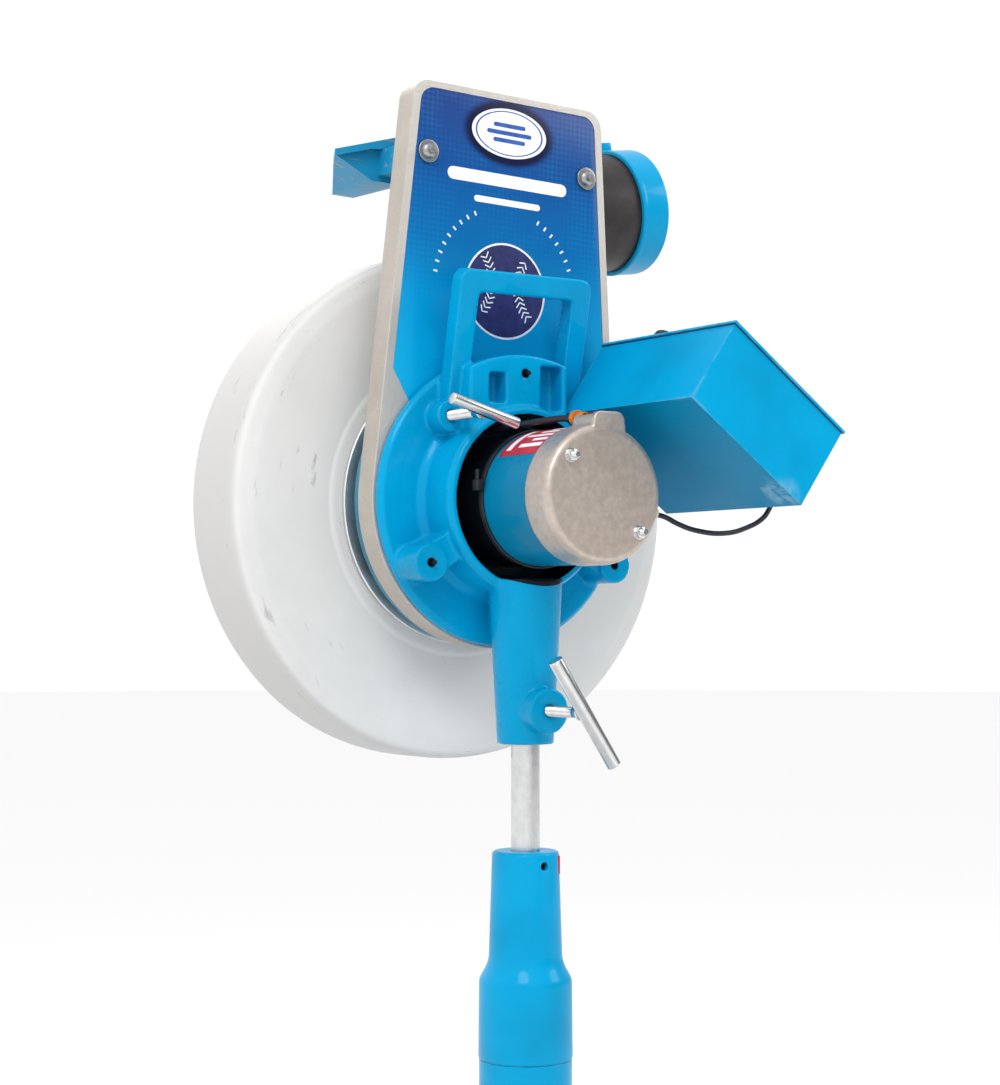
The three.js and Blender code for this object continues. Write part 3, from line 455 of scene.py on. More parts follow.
def from_axle(tree, place, x=0.0, z=0.0):
    """The distance from the wheel's axle, or from a line beside it, in metres."""
    centred = add(tree, "ShaderNodeVectorMath", {
        0: place, 1: (AXLE.x + x, 0.0, AXLE.z + z)}, operation="SUBTRACT").outputs["Vector"]
    flat = add(tree, "ShaderNodeVectorMath", {0: centred, 1: (1, 0, 1)}, operation="MULTIPLY").outputs["Vector"]
    return add(tree, "ShaderNodeVectorMath", {0: flat}, operation="LENGTH").outputs["Value"]


def worn_edges(tree, width_mm):
    """1 along outer edges, fading to 0 over a width, broken up as wear is."""
    soft = add(tree, "ShaderNodeBevel", {"Radius": width_mm * MM}, samples=4).outputs["Normal"]
    plain = add(tree, "ShaderNodeNewGeometry").outputs["Normal"]
    along = add(tree, "ShaderNodeVectorMath", {0: soft, 1: plain}, operation="DOT_PRODUCT").outputs["Value"]
    return step(tree, along, 0.985, 0.90)


def make_materials():
    """Every finish by its plain name."""
    made = {}
    enamel = list(colours().enamel) + [1.0]

    # Blue stove enamel: sprayed and baked, glossy with a faint orange peel, a little deeper where it
    # pooled, and rubbed pale where hands and straps touch the edges.
    def enamel_finish(name, wear, peel=0.05, roughness=0.3, base=None):
        material, tree, shader, place = surface(name, IOR=1.25, Coat_Weight=0.16, Coat_Roughness=0.04)
        shader.inputs["Specular Tint"].default_value = (0.15, 0.62, 0.9, 1.0)
        blue = base or enamel
        tones = [[c * share for c in blue[:3]] + [1.0] for share in (0.86, 1.0, 1.06)]
        pooled = ramp(tree, noise(tree, place, 60, 2), (0.3, tones[0]), (0.55, tones[1]), (0.8, tones[2]))
        if wear > 0:
            rubbed = product(tree, worn_edges(tree, 1.4), step(tree, noise(tree, place, 9, 4), 0.42, 0.62))
            pooled = mixed(tree, product(tree, rubbed, wear), pooled, linear("#8FCBE6"))
        paint(tree, shader, "Base Color", pooled)
        gloss = add(tree, "ShaderNodeMapRange", {
            "Value": noise(tree, place, 25, 3), "To Min": roughness - 0.06, "To Max": roughness + 0.12,
        }).outputs["Result"]
        paint(tree, shader, "Roughness", gloss)
        relief(tree, shader, noise(tree, place, 3.5, 1), peel)
        return material, tree, shader, place, pooled

    made["enamel_tube"] = enamel_finish("stove_enamel_on_tube", 0.2, 0.04, 0.34)[0]

    # The box's sheet: its underside is painted darker as painted shade, with a chalky scuff at one corner
    # and a pale streak along the fold above it.
    material, tree, shader, place, colour = enamel_finish("stove_enamel_on_sheet", 0.5, 0.03, 0.36)
    normal = add(tree, "ShaderNodeNewGeometry").outputs["Normal"]
    down = add(tree, "ShaderNodeSeparateXYZ", {"Vector": normal}).outputs["Z"]
    # painted shade: faces that look down are darkened to 0.7 of the enamel
    colour = mixed(tree, step(tree, down, -0.5, -0.75), colour, [c * 0.7 for c in enamel[:3]] + [1.0])
    chalk = step(tree, noise(tree, place, 12, 5), 0.38, 0.6)
    for spot, reach, share in ((SCUFF_AT, 22, 0.5), (STREAK_AT, 30, 0.35)):
        gap = add(tree, "ShaderNodeVectorMath", {
            0: place, 1: AXLE + Vector(spot) * MM}, operation="DISTANCE").outputs["Value"]
        near = step(tree, gap, reach * MM, 0.4 * reach * MM)
        if spot is STREAK_AT:
            near = product(tree, near, worn_edges(tree, 4.0))
        colour = mixed(tree, product(tree, product(tree, near, chalk), share), colour, linear("#9CC4D8"))
    paint(tree, shader, "Base Color", colour)
    shader.inputs["Coat Weight"].default_value = 0.0
    made["enamel_sheet"] = material

    # The casting's bore and its three lug holes are painted near black as painted shade for those deep recesses.
    material, tree, shader, place, colour = enamel_finish("stove_enamel_on_casting", 0.4, 0.12, 0.24)
    recess_shade = step(tree, from_axle(tree, place), (BORE_RADIUS + 0.9) * MM, (BORE_RADIUS + 0.4) * MM)
    for angle in LUG_ANGLES:
        x, z = polar(LUG_CIRCLE * MM, angle)
        hole = step(tree, from_axle(tree, place, x, z), 3.7 * MM, 3.2 * MM)
        recess_shade = add(tree, "ShaderNodeMath", {0: recess_shade, 1: hole}, operation="MAXIMUM").outputs[0]
    paint(tree, shader, "Base Color", mixed(tree, recess_shade, colour, linear("#0B0D12")))
    made["enamel_casting"] = material

    # The rolled can: a darker, greener copy of the enamel as painted shade inside the collar, and near black behind
    # its strap as deeper painted shade.
    shaded_can_blue = [0.0, enamel[1] * 0.56, enamel[2] * 0.56, 1.0]
    material, tree, shader, place, colour = enamel_finish("shaded_enamel_on_can", 0.0, 0.03, 0.34, shaded_can_blue)
    depth = add(tree, "ShaderNodeSeparateXYZ", {"Vector": place}).outputs["Y"]
    # painted shade: the can turns near black behind its strap, deep inside the collar
    rear_shade_mask = step(tree, depth, AXLE.y - 0.0575, AXLE.y - 0.0545)
    paint(tree, shader, "Base Color", mixed(tree, rear_shade_mask, colour, linear("#0A1016")))
    made["enamel_can"] = material

    # The same enamel in the shadow behind the plate, painted a darker teal as painted shade.
    material, tree, shader, place = surface("shaded_enamel_on_ring", Roughness=0.42, IOR=1.5)
    paint(tree, shader, "Base Color", ramp(
        tree, noise(tree, place, 40, 2), (0.3, linear("#1F6E8C")), (0.7, linear("#2E86A4"))))
    relief(tree, shader, noise(tree, place, 4, 1), 0.05)
    made["enamel_ring"] = material

    # Worn enamel on the ball shoe: balls scrub it through to a tan grey primer in long scratches.
    material, tree, shader, place = surface("scrubbed_enamel_on_shoe", Roughness=0.45, IOR=1.5)
    shader.inputs["Specular IOR Level"].default_value = 0.3
    # painted shade: the shoe's blue is a darker copy of the enamel, for its shaded faces
    dull = [0.006, enamel[1] * 0.78, enamel[2] * 0.78, 1.0]
    scratches = step(tree, noise(tree, place, 9, 5, 0.6, (6, 1, 0.6)), 0.56, 0.66)
    primer = mixed(tree, noise(tree, place, 20, 3), linear("#7F7A70"), linear("#A79F90"))
    paint(tree, shader, "Base Color", mixed(tree, product(tree, scratches, 0.8), dull, primer))
    relief(tree, shader, scratches, 0.08, -0.6)
    made["enamel_scrubbed"] = material

    # Sand-cast aluminium plate: creamy grey with the sand's grain standing out on its sides, and a
    # brighter front lip where it was machined flat.
    material, tree, shader, place = surface("sand_cast_aluminium", Metallic=0.55)
    grain = noise(tree, place, 1.6, 4, 0.65)
    normal = add(tree, "ShaderNodeNewGeometry").outputs["Normal"]
    facing = add(tree, "ShaderNodeSeparateXYZ", {"Vector": normal}).outputs["Y"]
    machined = step(tree, facing, -0.9, -0.98)
    blotches = mixed(tree, noise(tree, place, 22, 3), linear("#B7AFA6"), linear("#CCC5BC"))
    pits = step(tree, grain, 0.62, 0.72)
    cast = mixed(tree, pits, blotches, linear("#8E877E"))
    paint(tree, shader, "Base Color", mixed(tree, product(tree, machined, 0.6), cast, linear("#D2CFCA")))
    paint(tree, shader, "Roughness", add(tree, "ShaderNodeMapRange", {
        "Value": machined, "To Min": 0.62, "To Max": 0.38}).outputs["Result"])
    relief(tree, shader, grain, 0.35)
    made["cast_aluminium"] = material

    # Die-cast end bell: tumbled warm grey, mottled by the flow of the metal, with a soft sheen.
    material, tree, shader, place = surface("die_cast_tumbled", Metallic=0.75)
    flow = noise(tree, place, 5, 4, 0.6)
    paint(tree, shader, "Base Color", ramp(
        tree, flow, (0.3, linear("#BDAFA5")), (0.5, linear("#C5B8AD")), (0.72, linear("#CFC2B7"))))
    paint(tree, shader, "Roughness", add(tree, "ShaderNodeMapRange", {
        "Value": noise(tree, place, 5, 3), "To Min": 0.36, "To Max": 0.46}).outputs["Result"])
    relief(tree, shader, noise(tree, place, 1.6, 3), 0.05)
    made["die_cast"] = material

    # Bright zinc plate on steel: clear, a little clouded, with fine draw lines along a bar.
    def zinc_finish(name, stretch, roughness=0.22, shade=1.0):
        material, tree, shader, place = surface(name, Metallic=1.0)
        cloud = noise(tree, place, 9, 3)
        lines = noise(tree, place, 0.9, 2, 0.5, stretch)
        paint(tree, shader, "Base Color", ramp(
            tree, cloud, *[
                (spot, [c * shade for c in linear(code)[:3]] + [1.0])
                for spot, code in ((0.3, "#CFD0D1"), (0.55, "#DADBDB"), (0.8, "#E4E3E0"))]))
        paint(tree, shader, "Roughness", add(tree, "ShaderNodeMapRange", {
            "Value": lines, "To Min": roughness - 0.03, "To Max": roughness + 0.08}).outputs["Result"])
        relief(tree, shader, lines, 0.02)
        return material

    made["zinc"] = zinc_finish("bright_zinc_plate", None, 0.2)
    made["zinc_screw"] = zinc_finish("dull_zinc_screw", None, 0.3, 0.55)
    made["zinc_bar"] = zinc_finish("bright_zinc_on_drawn_bar", (1, 1, 30), 0.26)
    made["zinc_rim"] = zinc_finish("bright_zinc_on_pressed_rim", None, 0.4, 1.25)

    # Plain steel: turned, dull grey, lightly oiled.
    material, tree, shader, place = surface("plain_turned_steel", Metallic=1.0)
    paint(tree, shader, "Base Color", ramp(
        tree, noise(tree, place, 6, 3), (0.3, linear("#6E7073")), (0.7, linear("#A2A4A6"))))
    shader.inputs["Roughness"].default_value = 0.36
    relief(tree, shader, noise(tree, place, 1.2, 2), 0.02)
    made["steel"] = material

    # Black oxide on the socket screws: dark, with a dry sheen.
    material, tree, shader, place = surface("black_oxide_screw", Metallic=0.6, Roughness=0.5)
    paint(tree, shader, "Base Color", ramp(
        tree, noise(tree, place, 1.5, 2), (0.3, linear("#0E0F12")), (0.7, linear("#26282C"))))
    made["black_oxide"] = material

    # White tyre rubber: matt and cured smooth. Balls and handling leave grey smudges and a few darker
    # scuffs that run round the side; the tread is painted a cooler grey than the side as painted shade.
    material, tree, shader, place = surface("white_tyre_rubber", IOR=1.5)
    centred = add(tree, "ShaderNodeVectorMath", {
        0: place, 1: (AXLE.x, 0.0, AXLE.z)}, operation="SUBTRACT").outputs["Vector"]
    parts = add(tree, "ShaderNodeSeparateXYZ", {"Vector": centred})
    reach = from_axle(tree, place)
    angle = add(tree, "ShaderNodeMath", {
        0: parts.outputs["Z"], 1: parts.outputs["X"]}, operation="ARCTAN2").outputs[0]
    # around the axle: turns of angle, reach in metres, and the axle's own direction
    round_about = add(tree, "ShaderNodeCombineXYZ", {"X": add(tree, "ShaderNodeMath", {
        0: angle, 1: 0.15}, operation="MULTIPLY").outputs[0], "Y": reach, "Z": parts.outputs["Y"]}).outputs[0]
    white = list(colours().tyre) + [1.0]
    dusty = [c * 0.95 for c in white[:3]] + [1.0]
    base = mixed(tree, step(tree, noise(tree, place, 55, 4), 0.35, 0.7), dusty, white)
    # painted shade: the tread band is painted a cooler grey than the side
    tread_shade_mask = step(tree, reach, (TYRE_RADIUS - 4.5) * MM, (TYRE_RADIUS - 0.5) * MM)
    base = mixed(tree, tread_shade_mask, base, linear("#C9C8C6"))
    scuff = step(tree, noise(tree, round_about, 14, 6, 0.7, (3.5, 1, 1)), 0.62, 0.70)
    base = mixed(tree, product(tree, scuff, 0.5), base, linear("#8E8D8B"))
    paint(tree, shader, "Base Color", base)
    shader.inputs["Roughness"].default_value = 0.62
    rings = add(tree, "ShaderNodeMath", {0: add(tree, "ShaderNodeMath", {
        0: reach, 1: 2400.0}, operation="MULTIPLY").outputs[0]}, operation="SINE").outputs[0]
    relief(tree, shader, add(tree, "ShaderNodeMath", {
        0: rings, 1: 0.15, 2: noise(tree, place, 5, 3)}, operation="MULTIPLY_ADD").outputs[0], 0.06)
    made["white_tyre"] = material

    # Black moulded plastic and rubber: a fine spark-eroded grain, with a dull sheen.
    def black_finish(name, dark, light, roughness, grain_mm, depth):
        material, tree, shader, place = surface(name, IOR=1.5)
        paint(tree, shader, "Base Color", ramp(
            tree, noise(tree, place, 18, 4), (0.35, linear(dark)), (0.75, linear(light))))
        paint(tree, shader, "Roughness", add(tree, "ShaderNodeMapRange", {
            "Value": noise(tree, place, 30, 3), "To Min": roughness - 0.08, "To Max": roughness + 0.1,
        }).outputs["Result"])
        relief(tree, shader, noise(tree, place, grain_mm, 2), depth)
        return material

    made["black_abs"] = black_finish("black_moulded_abs", "#121316", "#26272B", 0.42, 0.9, 0.05)
    made["black_tube"] = black_finish("black_extruded_tube", "#150F10", "#2E2626", 0.5, 2.5, 0.08)
    made["black_rubber"] = black_finish("black_moulded_rubber", "#19191B", "#303033", 0.7, 1.4, 0.08)
    made["cable_jacket"] = black_finish("black_pvc_jacket", "#0B0D18", "#161A2A", 0.38, 2.0, 0.03)

    # Small coloured mouldings: even gloss plastic, a little cloudy.
    def coloured_finish(name, dark, light, roughness=0.4):
        material, tree, shader, place = surface(name, IOR=1.46, Roughness=roughness)
        paint(tree, shader, "Base Color", ramp(
            tree, noise(tree, place, 6, 2), (0.35, linear(dark)), (0.7, linear(light))))
        relief(tree, shader, noise(tree, place, 1.0, 1), 0.02)
        return material

    made["orange_plastic"] = coloured_finish("orange_moulded_grommet", "#C06A16", "#E08E35")
    made["cream_plastic"] = coloured_finish("cream_moulded_clip", "#CFC4AA", "#E4DBC6")
    made["white_print"] = coloured_finish("white_screen_ink", "#E8EBF0", "#FAFBFC", 0.5)
    made["navy_print"] = coloured_finish("navy_screen_ink", "#151C55", "#1F2C6E", 0.45)
    made["red_label"] = coloured_finish("red_vinyl_label", "#B3202B", "#C92B36", 0.38)
    made["blue_print"] = coloured_finish("blue_screen_ink", "#1D4C9E", "#2A5FB4", 0.45)

    # The front panel: polycarbonate printed on its back, navy at the top and bright blue at the foot,
    # with a small lozenge pattern in the ink and a soft shadow behind the badge.
    material, tree, shader, place = surface("printed_polycarbonate", IOR=1.25, Roughness=0.3)
    local = add(tree, "ShaderNodeMapping", {
        "Vector": place, "Location": AXLE, "Rotation": (0, math.radians(HEAD_LEAN), 0)},
        vector_type="TEXTURE").outputs[0]
    xyz = add(tree, "ShaderNodeSeparateXYZ", {"Vector": local})
    height = add(tree, "ShaderNodeMapRange", {
        "Value": xyz.outputs["Z"], "From Min": 0.085, "From Max": 0.316}).outputs["Result"]
    fade = ramp(
        tree, height, (0.0, linear("#00ACE0")), (0.25, linear("#009AD2")), (0.5, linear("#006CAC")),
        (0.75, linear("#0F4E93")), (1.0, linear("#253F80")))
    lozenge = 4.2  # mm from one lozenge to the next
    waves = []
    for sign in (1, -1):
        slant = add(tree, "ShaderNodeMath", {
            0: xyz.outputs["X"], 1: sign * 1.0, 2: xyz.outputs["Z"]}, operation="MULTIPLY_ADD").outputs[0]
        turns = add(tree, "ShaderNodeMath", {0: slant, 1: math.tau * 1000 / (2 * lozenge)}, operation="MULTIPLY")
        waves.append(add(tree, "ShaderNodeMath", {0: turns.outputs[0]}, operation="SINE").outputs[0])
    check = add(tree, "ShaderNodeMath", {0: waves[0], 1: waves[1]}, operation="MULTIPLY").outputs[0]
    light_part = step(tree, check, -0.35, 0.35)
    patchy = product(tree, light_part, step(tree, noise(tree, place, 30, 2), 0.3, 0.75))
    texture = product(tree, patchy, 0.14)
    fade = mixed(tree, texture, fade, linear("#1FA0DC"))
    badge = add(tree, "ShaderNodeMapping", {
        "Vector": local, "Location": (0, 0, 0.291), "Scale": (0.041, 1.0, 0.0255)},
        vector_type="TEXTURE").outputs[0]
    badge_xyz = add(tree, "ShaderNodeSeparateXYZ", {"Vector": badge})
    around = add(tree, "ShaderNodeVectorMath", {0: add(tree, "ShaderNodeCombineXYZ", {
        "X": badge_xyz.outputs["X"], "Z": badge_xyz.outputs["Z"]}).outputs[0]}, operation="LENGTH").outputs["Value"]
    fade = mixed(tree, step(tree, around, 1.12, 0.9), fade, linear("#10163C"))
    paint(tree, shader, "Base Color", fade)
    relief(tree, shader, light_part, 0.03, 0.5)
    made["panel_print"] = material

    # Inside pieces: varnished windings, sintered ferrite and a coated board.
    material, tree, shader, place = surface("varnished_copper_winding", Metallic=0.9, Roughness=0.35)
    turns = add(tree, "ShaderNodeTexWave", {"Vector": place, "Scale": 350.0, "Distortion": 2.0}).outputs["Fac"]
    paint(tree, shader, "Base Color", mixed(tree, turns, linear("#7A3C1C"), linear("#C87A45")))
    made["copper"] = material
    made["ferrite"] = black_finish("sintered_ferrite", "#232325", "#3A3A3C", 0.72, 1.0, 0.05)
    made["board"] = coloured_finish("coated_circuit_board", "#17552F", "#2C7F4B", 0.35)
    return made


MATERIALS = {}


def finish_of(name):
    """A material by its plain name, made once."""
    if not MATERIALS:
        MATERIALS.update(make_materials())
    return MATERIALS[name]


# ---- camera and cords --------------------------------------------------------------------------------

def build_camera():
    """The camera stands low in front on the motor's side and looks up a little."""
    data = bpy.data.cameras.new("camera")
    data.sensor_width = 36.0
    data.sensor_fit = "HORIZONTAL"
    data.lens = 79.2
    data.clip_start, data.clip_end = 0.05, 60.0
    camera = bpy.data.objects.new("camera", data)
    camera.location = AXLE + Vector((-943.4, -1432.5, -88.2)) * MM
    look = Vector((0.55018, 0.83439, 0.03316))
    camera.rotation_mode = "QUATERNION"
    camera.rotation_quaternion = look.to_track_quat("-Z", "Y")
    bpy.context.scene.collection.objects.link(camera)
    bpy.context.scene.camera = camera


def box_point(x, y, z):
    """A point of the control box's own frame, in millimetres around the axle."""
    return (shift(BOX_CORNER[0], 0, BOX_CORNER[1]) @ turn("Y", BOX_TURN)) @ Vector((x, y, z))


def cord_curve(name, points, diameter, finish):
    """A round cord on one smooth curve through points in millimetres around the axle."""
    data = bpy.data.curves.new(name, "CURVE")
    data.dimensions = "3D"
    data.bevel_depth = diameter / 2
    data.bevel_resolution = 5
    data.resolution_u = 8
    data.use_fill_caps = True
    line = data.splines.new("BEZIER")
    line.bezier_points.add(len(points) - 1)
    for knot, point in zip(line.bezier_points, points):
        knot.co = AXLE + Vector(point) * MM
        knot.handle_left_type = knot.handle_right_type = "AUTO"
    data.materials.append(finish)
    made = bpy.data.objects.new(name, data)
    bpy.context.scene.collection.objects.link(made)
    bpy.context.view_layer.update()
    return made


def build_motor_cable():
    """The cable that leaves the box's end, bends back under it and enters the motor's side."""
    away = [box_point(x, GLAND_AT[0], GLAND_AT[1]) for x in (122, 131, 137, 140.5)]
    loop = [
        (172.5, -122.5, 0), (167.5, -124, -8.5), (160, -125, -14.5), (148, -125, -20), (127, -125, -25.2),
        (97, -125, -24), (80, -124.5, -19.5),
    ]
    ends = [(x, CLIP_Y, z) for x, z in (polar(r, CLIP_ANGLE) for r in (69, 61, 55, 48.5))]
    made = cord_curve("motor_cable_run", away + loop + ends, sizes().lead_diameter, finish_of("cable_jacket"))
    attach(made, "swivel")
    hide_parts("motor_cable")


def build_motor_leads():
    """The sleeved pair that leaves the bell's grommet and lies along the can under its strap."""
    points = [
        (-3, -117.7, 57.5), (-3, -105.7, 57.5), (-6, -96, 58.2), (-12, -80, 57.4), (-17, -64, 56.2),
        (-21, -48, 55), (-24, -32, 53.6), (-26, -16, 52.4),
    ]
    made = cord_curve("motor_lead_pair", points, 0.005, finish_of("cable_jacket"))
    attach(made, "swivel")
    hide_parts("motor_leads")


# ---- stand -------------------------------------------------------------------------------------------

def build_mast():
    """The zinc rod, the blue neck it stands in, and the set screw in the neck."""
    low, high = span("mast_rod")
    rod = put(turned([(0, low.z), (11, low.z, 1.0), (11, high.z, 1.5), (0, high.z)]), UPRIGHT)
    piece("mast_rod_drawn", [rod], finish_of("zinc_bar"), "stand", ["mast_rod"],
          MACHINE @ shift(0, -37, 0))
    low, high = span("tripod_neck")
    neck = put(turned([
        (0, low.z),
        (35.2, low.z),
        (36, low.z + 1.2, 0.6),
        (35.4, -364, 2.5),
        (29.2, -353, 4),
        (28, -347, 5),
        (25.5, high.z - 1.5, 1.2),
        (23.5, high.z, 1.0),
        (11.4, high.z, 0.4),
        (11.4, high.z - 130),
        (0, high.z - 130),
    ]), UPRIGHT)
    neck = piece("tripod_neck_turned", [neck], finish_of("enamel_tube"), "stand",
                 ["tripod_neck"], MACHINE @ shift(0, -37, 0))
    cut_out(neck, [put(bar(3.4, -40, 0, 0.01), shift(0, 0, high.z - 10))], MACHINE @ shift(0, -37, 0))
    neck.data.set_sharp_from_angle(angle=math.radians(30))
    screw = put(bar(3.0, -22.5, -11.4, 0.5), shift(0, 0, high.z - 10))
    made = piece("mast_set_screw_socket", [screw], finish_of("black_oxide"), "stand",
                 ["mast_set_screw"], MACHINE @ shift(0, -37, 0))
    cut_out(made, [put(hexagon(3.0, -30, -18), shift(0, 0, high.z - 10))], MACHINE @ shift(0, -37, 0))
    mark = brick((16.2, -19.6, high.z - 17.5), (18.6, -17.6, high.z - 3.5), 0.3)
    piece("neck_red_mark", [mark], finish_of("red_label"), "stand", (),
          MACHINE @ shift(0, -37, 0))


def build_tripod():
    """The hub, the legs with their pins and the rubber feet."""
    made_part("tripod_hub", finish_of("enamel_tube"), "stand", 0.0008)
    for number, angle in ((1, 0), (2, 120), (3, 240)):
        joint = JOINTS[f"leg_{number}_fold"]
        pivot = Vector(joint["pos_m"])
        body = f"leg_{number}"
        out = Vector((math.cos(math.radians(angle)), math.sin(math.radians(angle)), 0))
        foot = Vector((-0.12, 0, 0)) + out * 0.48 + Vector((0, 0, 0.024))
        down = (foot - pivot) / MM
        length = down.length
        aim = down.normalized().to_track_quat("Y", "Z").to_matrix().to_4x4()
        place = Matrix.Translation(pivot) @ Matrix.Scale(MM, 4)
        tube = put(turned([
            (0, -2), (17, -2, 1.5), (17, length - 34, 1.0), (0, length - 34)], 64), aim)
        across = Vector(joint["axis"]).to_track_quat("Y", "Z").to_matrix().to_4x4()
        knuckle = put(bar(18, -17, 17, 1.2, 64), across)
        piece(f"leg_{number}_tube", [tube, knuckle], finish_of("enamel_tube"), body,
              [f"leg_{number}"], place)
        pin = put(turned([
            (0, -30.5), (3, -30.5), (9, -29, 0.6), (9, -24.6), (5, -24.6), (5, 24.6), (9, 24.6),
            (9, 29, 0.6), (3, 30.5), (0, 30.5)], 48), across)
        piece(f"leg_pin_{number}_rivet", [pin], finish_of("zinc"), "stand",
              [f"leg_pin_{number}"], place)
        ground = Matrix.Translation(Vector((-0.12, 0, 0)) + out * 0.48) @ Matrix.Scale(MM, 4)
        pad = put(turned([
            (0, 0), (26.5, 0, 0.8), (28, 2.5, 0.8), (28, 7.5, 1.5), (24.5, 10, 1), (24.5, 12, 1),
            (20.5, 22, 4), (0, 25)], 64), UPRIGHT)
        to_foot = Matrix.Translation((pivot - foot) / MM) @ shift(0, 0, 24)
        boot = put(turned([
            (0, length - 61), (18.2, length - 61, 1), (22, length - 58, 1.2), (22, length - 50, 0.8),
            (21, length - 49, 0.5), (21, length - 46, 0.5), (22, length - 45, 0.8), (22, length - 2, 4),
            (0, length)], 64), to_foot @ aim)
        piece(f"foot_{number}_moulded", [pad, boot], finish_of("black_rubber"), body,
              [f"foot_{number}"], ground)


# ---- swivel casting ----------------------------------------------------------------------------------

def build_casting():
    """The swivel casting: disc, collar, lugs, handle and mast socket grown into one rounded body."""
    voxel = sizes().casting_voxel
    low, high = span("swivel_casting")
    place = MACHINE.inverted()
    body = put(merged_copy("swivel_casting", 0), place)
    proud = 0.25  # the true round skins stand this far over the CAD's flats
    skins = [
        turned([
            (96, -0.35), (111.2, -0.35), (112 + proud, -1.6), (112 + proud, -5.2), (109, -8.2),
            (96, -8.2)], 160),
        turned([
            (65.4, -9), (65.4, -43), (69.4, -43 - proud), (71.9 + proud, -40), (74.4 + proud, -12),
            (79.4, -8.2), (79.4, -6), (66, -6)], 160),
        put(turned([
            (20, low.z + 0.4), (21.4 + proud, low.z), (28.2 + proud, -60), (20, -60)], 96),
            shift(0, -37, 0), UPRIGHT),
        put(turned([(5, -70 - proud), (17 + proud, -70 - proud), (17 + proud, -40), (5, -40)], 64),
            at(0, -160)),
        put(turned([(5, -26 - proud), (12 + proud, -26 - proud), (12 + proud, -4), (5, -4)], 48),
            at(-59.5, 63)),
    ]
    for angle in LUG_ANGLES:
        face = LUG_FACE - proud
        skins.append(put(turned([
            (4, face), (14 + proud, face), (14 + proud, -6), (4, -6)], 64), at(*polar(LUG_CIRCLE, angle))))
    cast_part("swivel_casting_enamelled", [body] + skins, voxel, sizes().fillet_passes,
              finish_of("enamel_casting"), "swivel", ["swivel_casting"])


def build_clamp():
    """The ring behind the plate and the three screws that pull it up."""
    ring = turned([
        (62, 22.3, 0.5), (112, 22.3, 0.5), (112, 31.5, 2.0), (108, 33.8, 1.5), (62, 33.8, 0.6)], 128)
    piece("rear_clamp_ring_turned", [ring], finish_of("enamel_ring"), "swivel",
          ["rear_clamp_ring"])
    for number, angle in enumerate(LUG_ANGLES, 1):
        x, z = polar(LUG_CIRCLE, angle)
        shank = bar(3.0, LUG_FACE + 3, 35.8, 0.5)
        nut = hexagon(10.2, 35.2, 39.3)
        washer = turned([(3.2, 34.0), (7.2, 34.0, 0.2), (7.2, 35.2, 0.3), (3.2, 35.2)], 48)
        screw = piece(f"clamp_screw_{number}_socket", [put(b, at(x, z)) for b in (shank, nut, washer)],
                      finish_of("black_oxide"), "swivel", [f"clamp_screw_{number}"])
        cut_out(screw, [put(hexagon(3.2, LUG_FACE - 5, LUG_FACE + 7), at(x, z))])


def lock_handle(name, node, body, centre, start, end, bar_radius, length, angle):
    """A screw with a bar welded across its end."""
    stud = turned([(0, end), (4.2, end, 0.5), (4.2, end + 12), (3.9, end + 12.5)]
                  + [(r - 0.1, y) for r, y in thread(4.2, 1.25, end + 14, start - 2)]
                  + [(3.0, start), (0, start)], 40)
    cross = put(bar(bar_radius, -length / 2, length / 2, 1.0, 48), shift(0, end, 0), turn("Y", -angle), ALONG_X)
    bead = turned([(3.8, end + bar_radius - 1.2), (6.0, end + bar_radius - 1.4, 1.0),
                   (5.2, end + bar_radius + 2.0, 1.0), (3.8, end + bar_radius + 2.6)], 40)
    bodies = [put(b, at(*centre)) for b in (stud, cross, bead)]
    return piece(name, bodies, finish_of("zinc"), body, [node], sharp=50)


def build_locks():
    """The tilt lock beside the handle's foot and the pan lock on the mast socket."""
    lock_handle("tilt_lock_welded", "tilt_lock_handle", "tilt_lock", (-59.5, 63), -0.3, -72, 4.5, 60, -15.6)
    lock_handle("pan_lock_welded", "pan_lock_handle", "pan_lock", (0, -160), -48.3, -115, 5.6, 95, -56)


# ---- motor -------------------------------------------------------------------------------------------

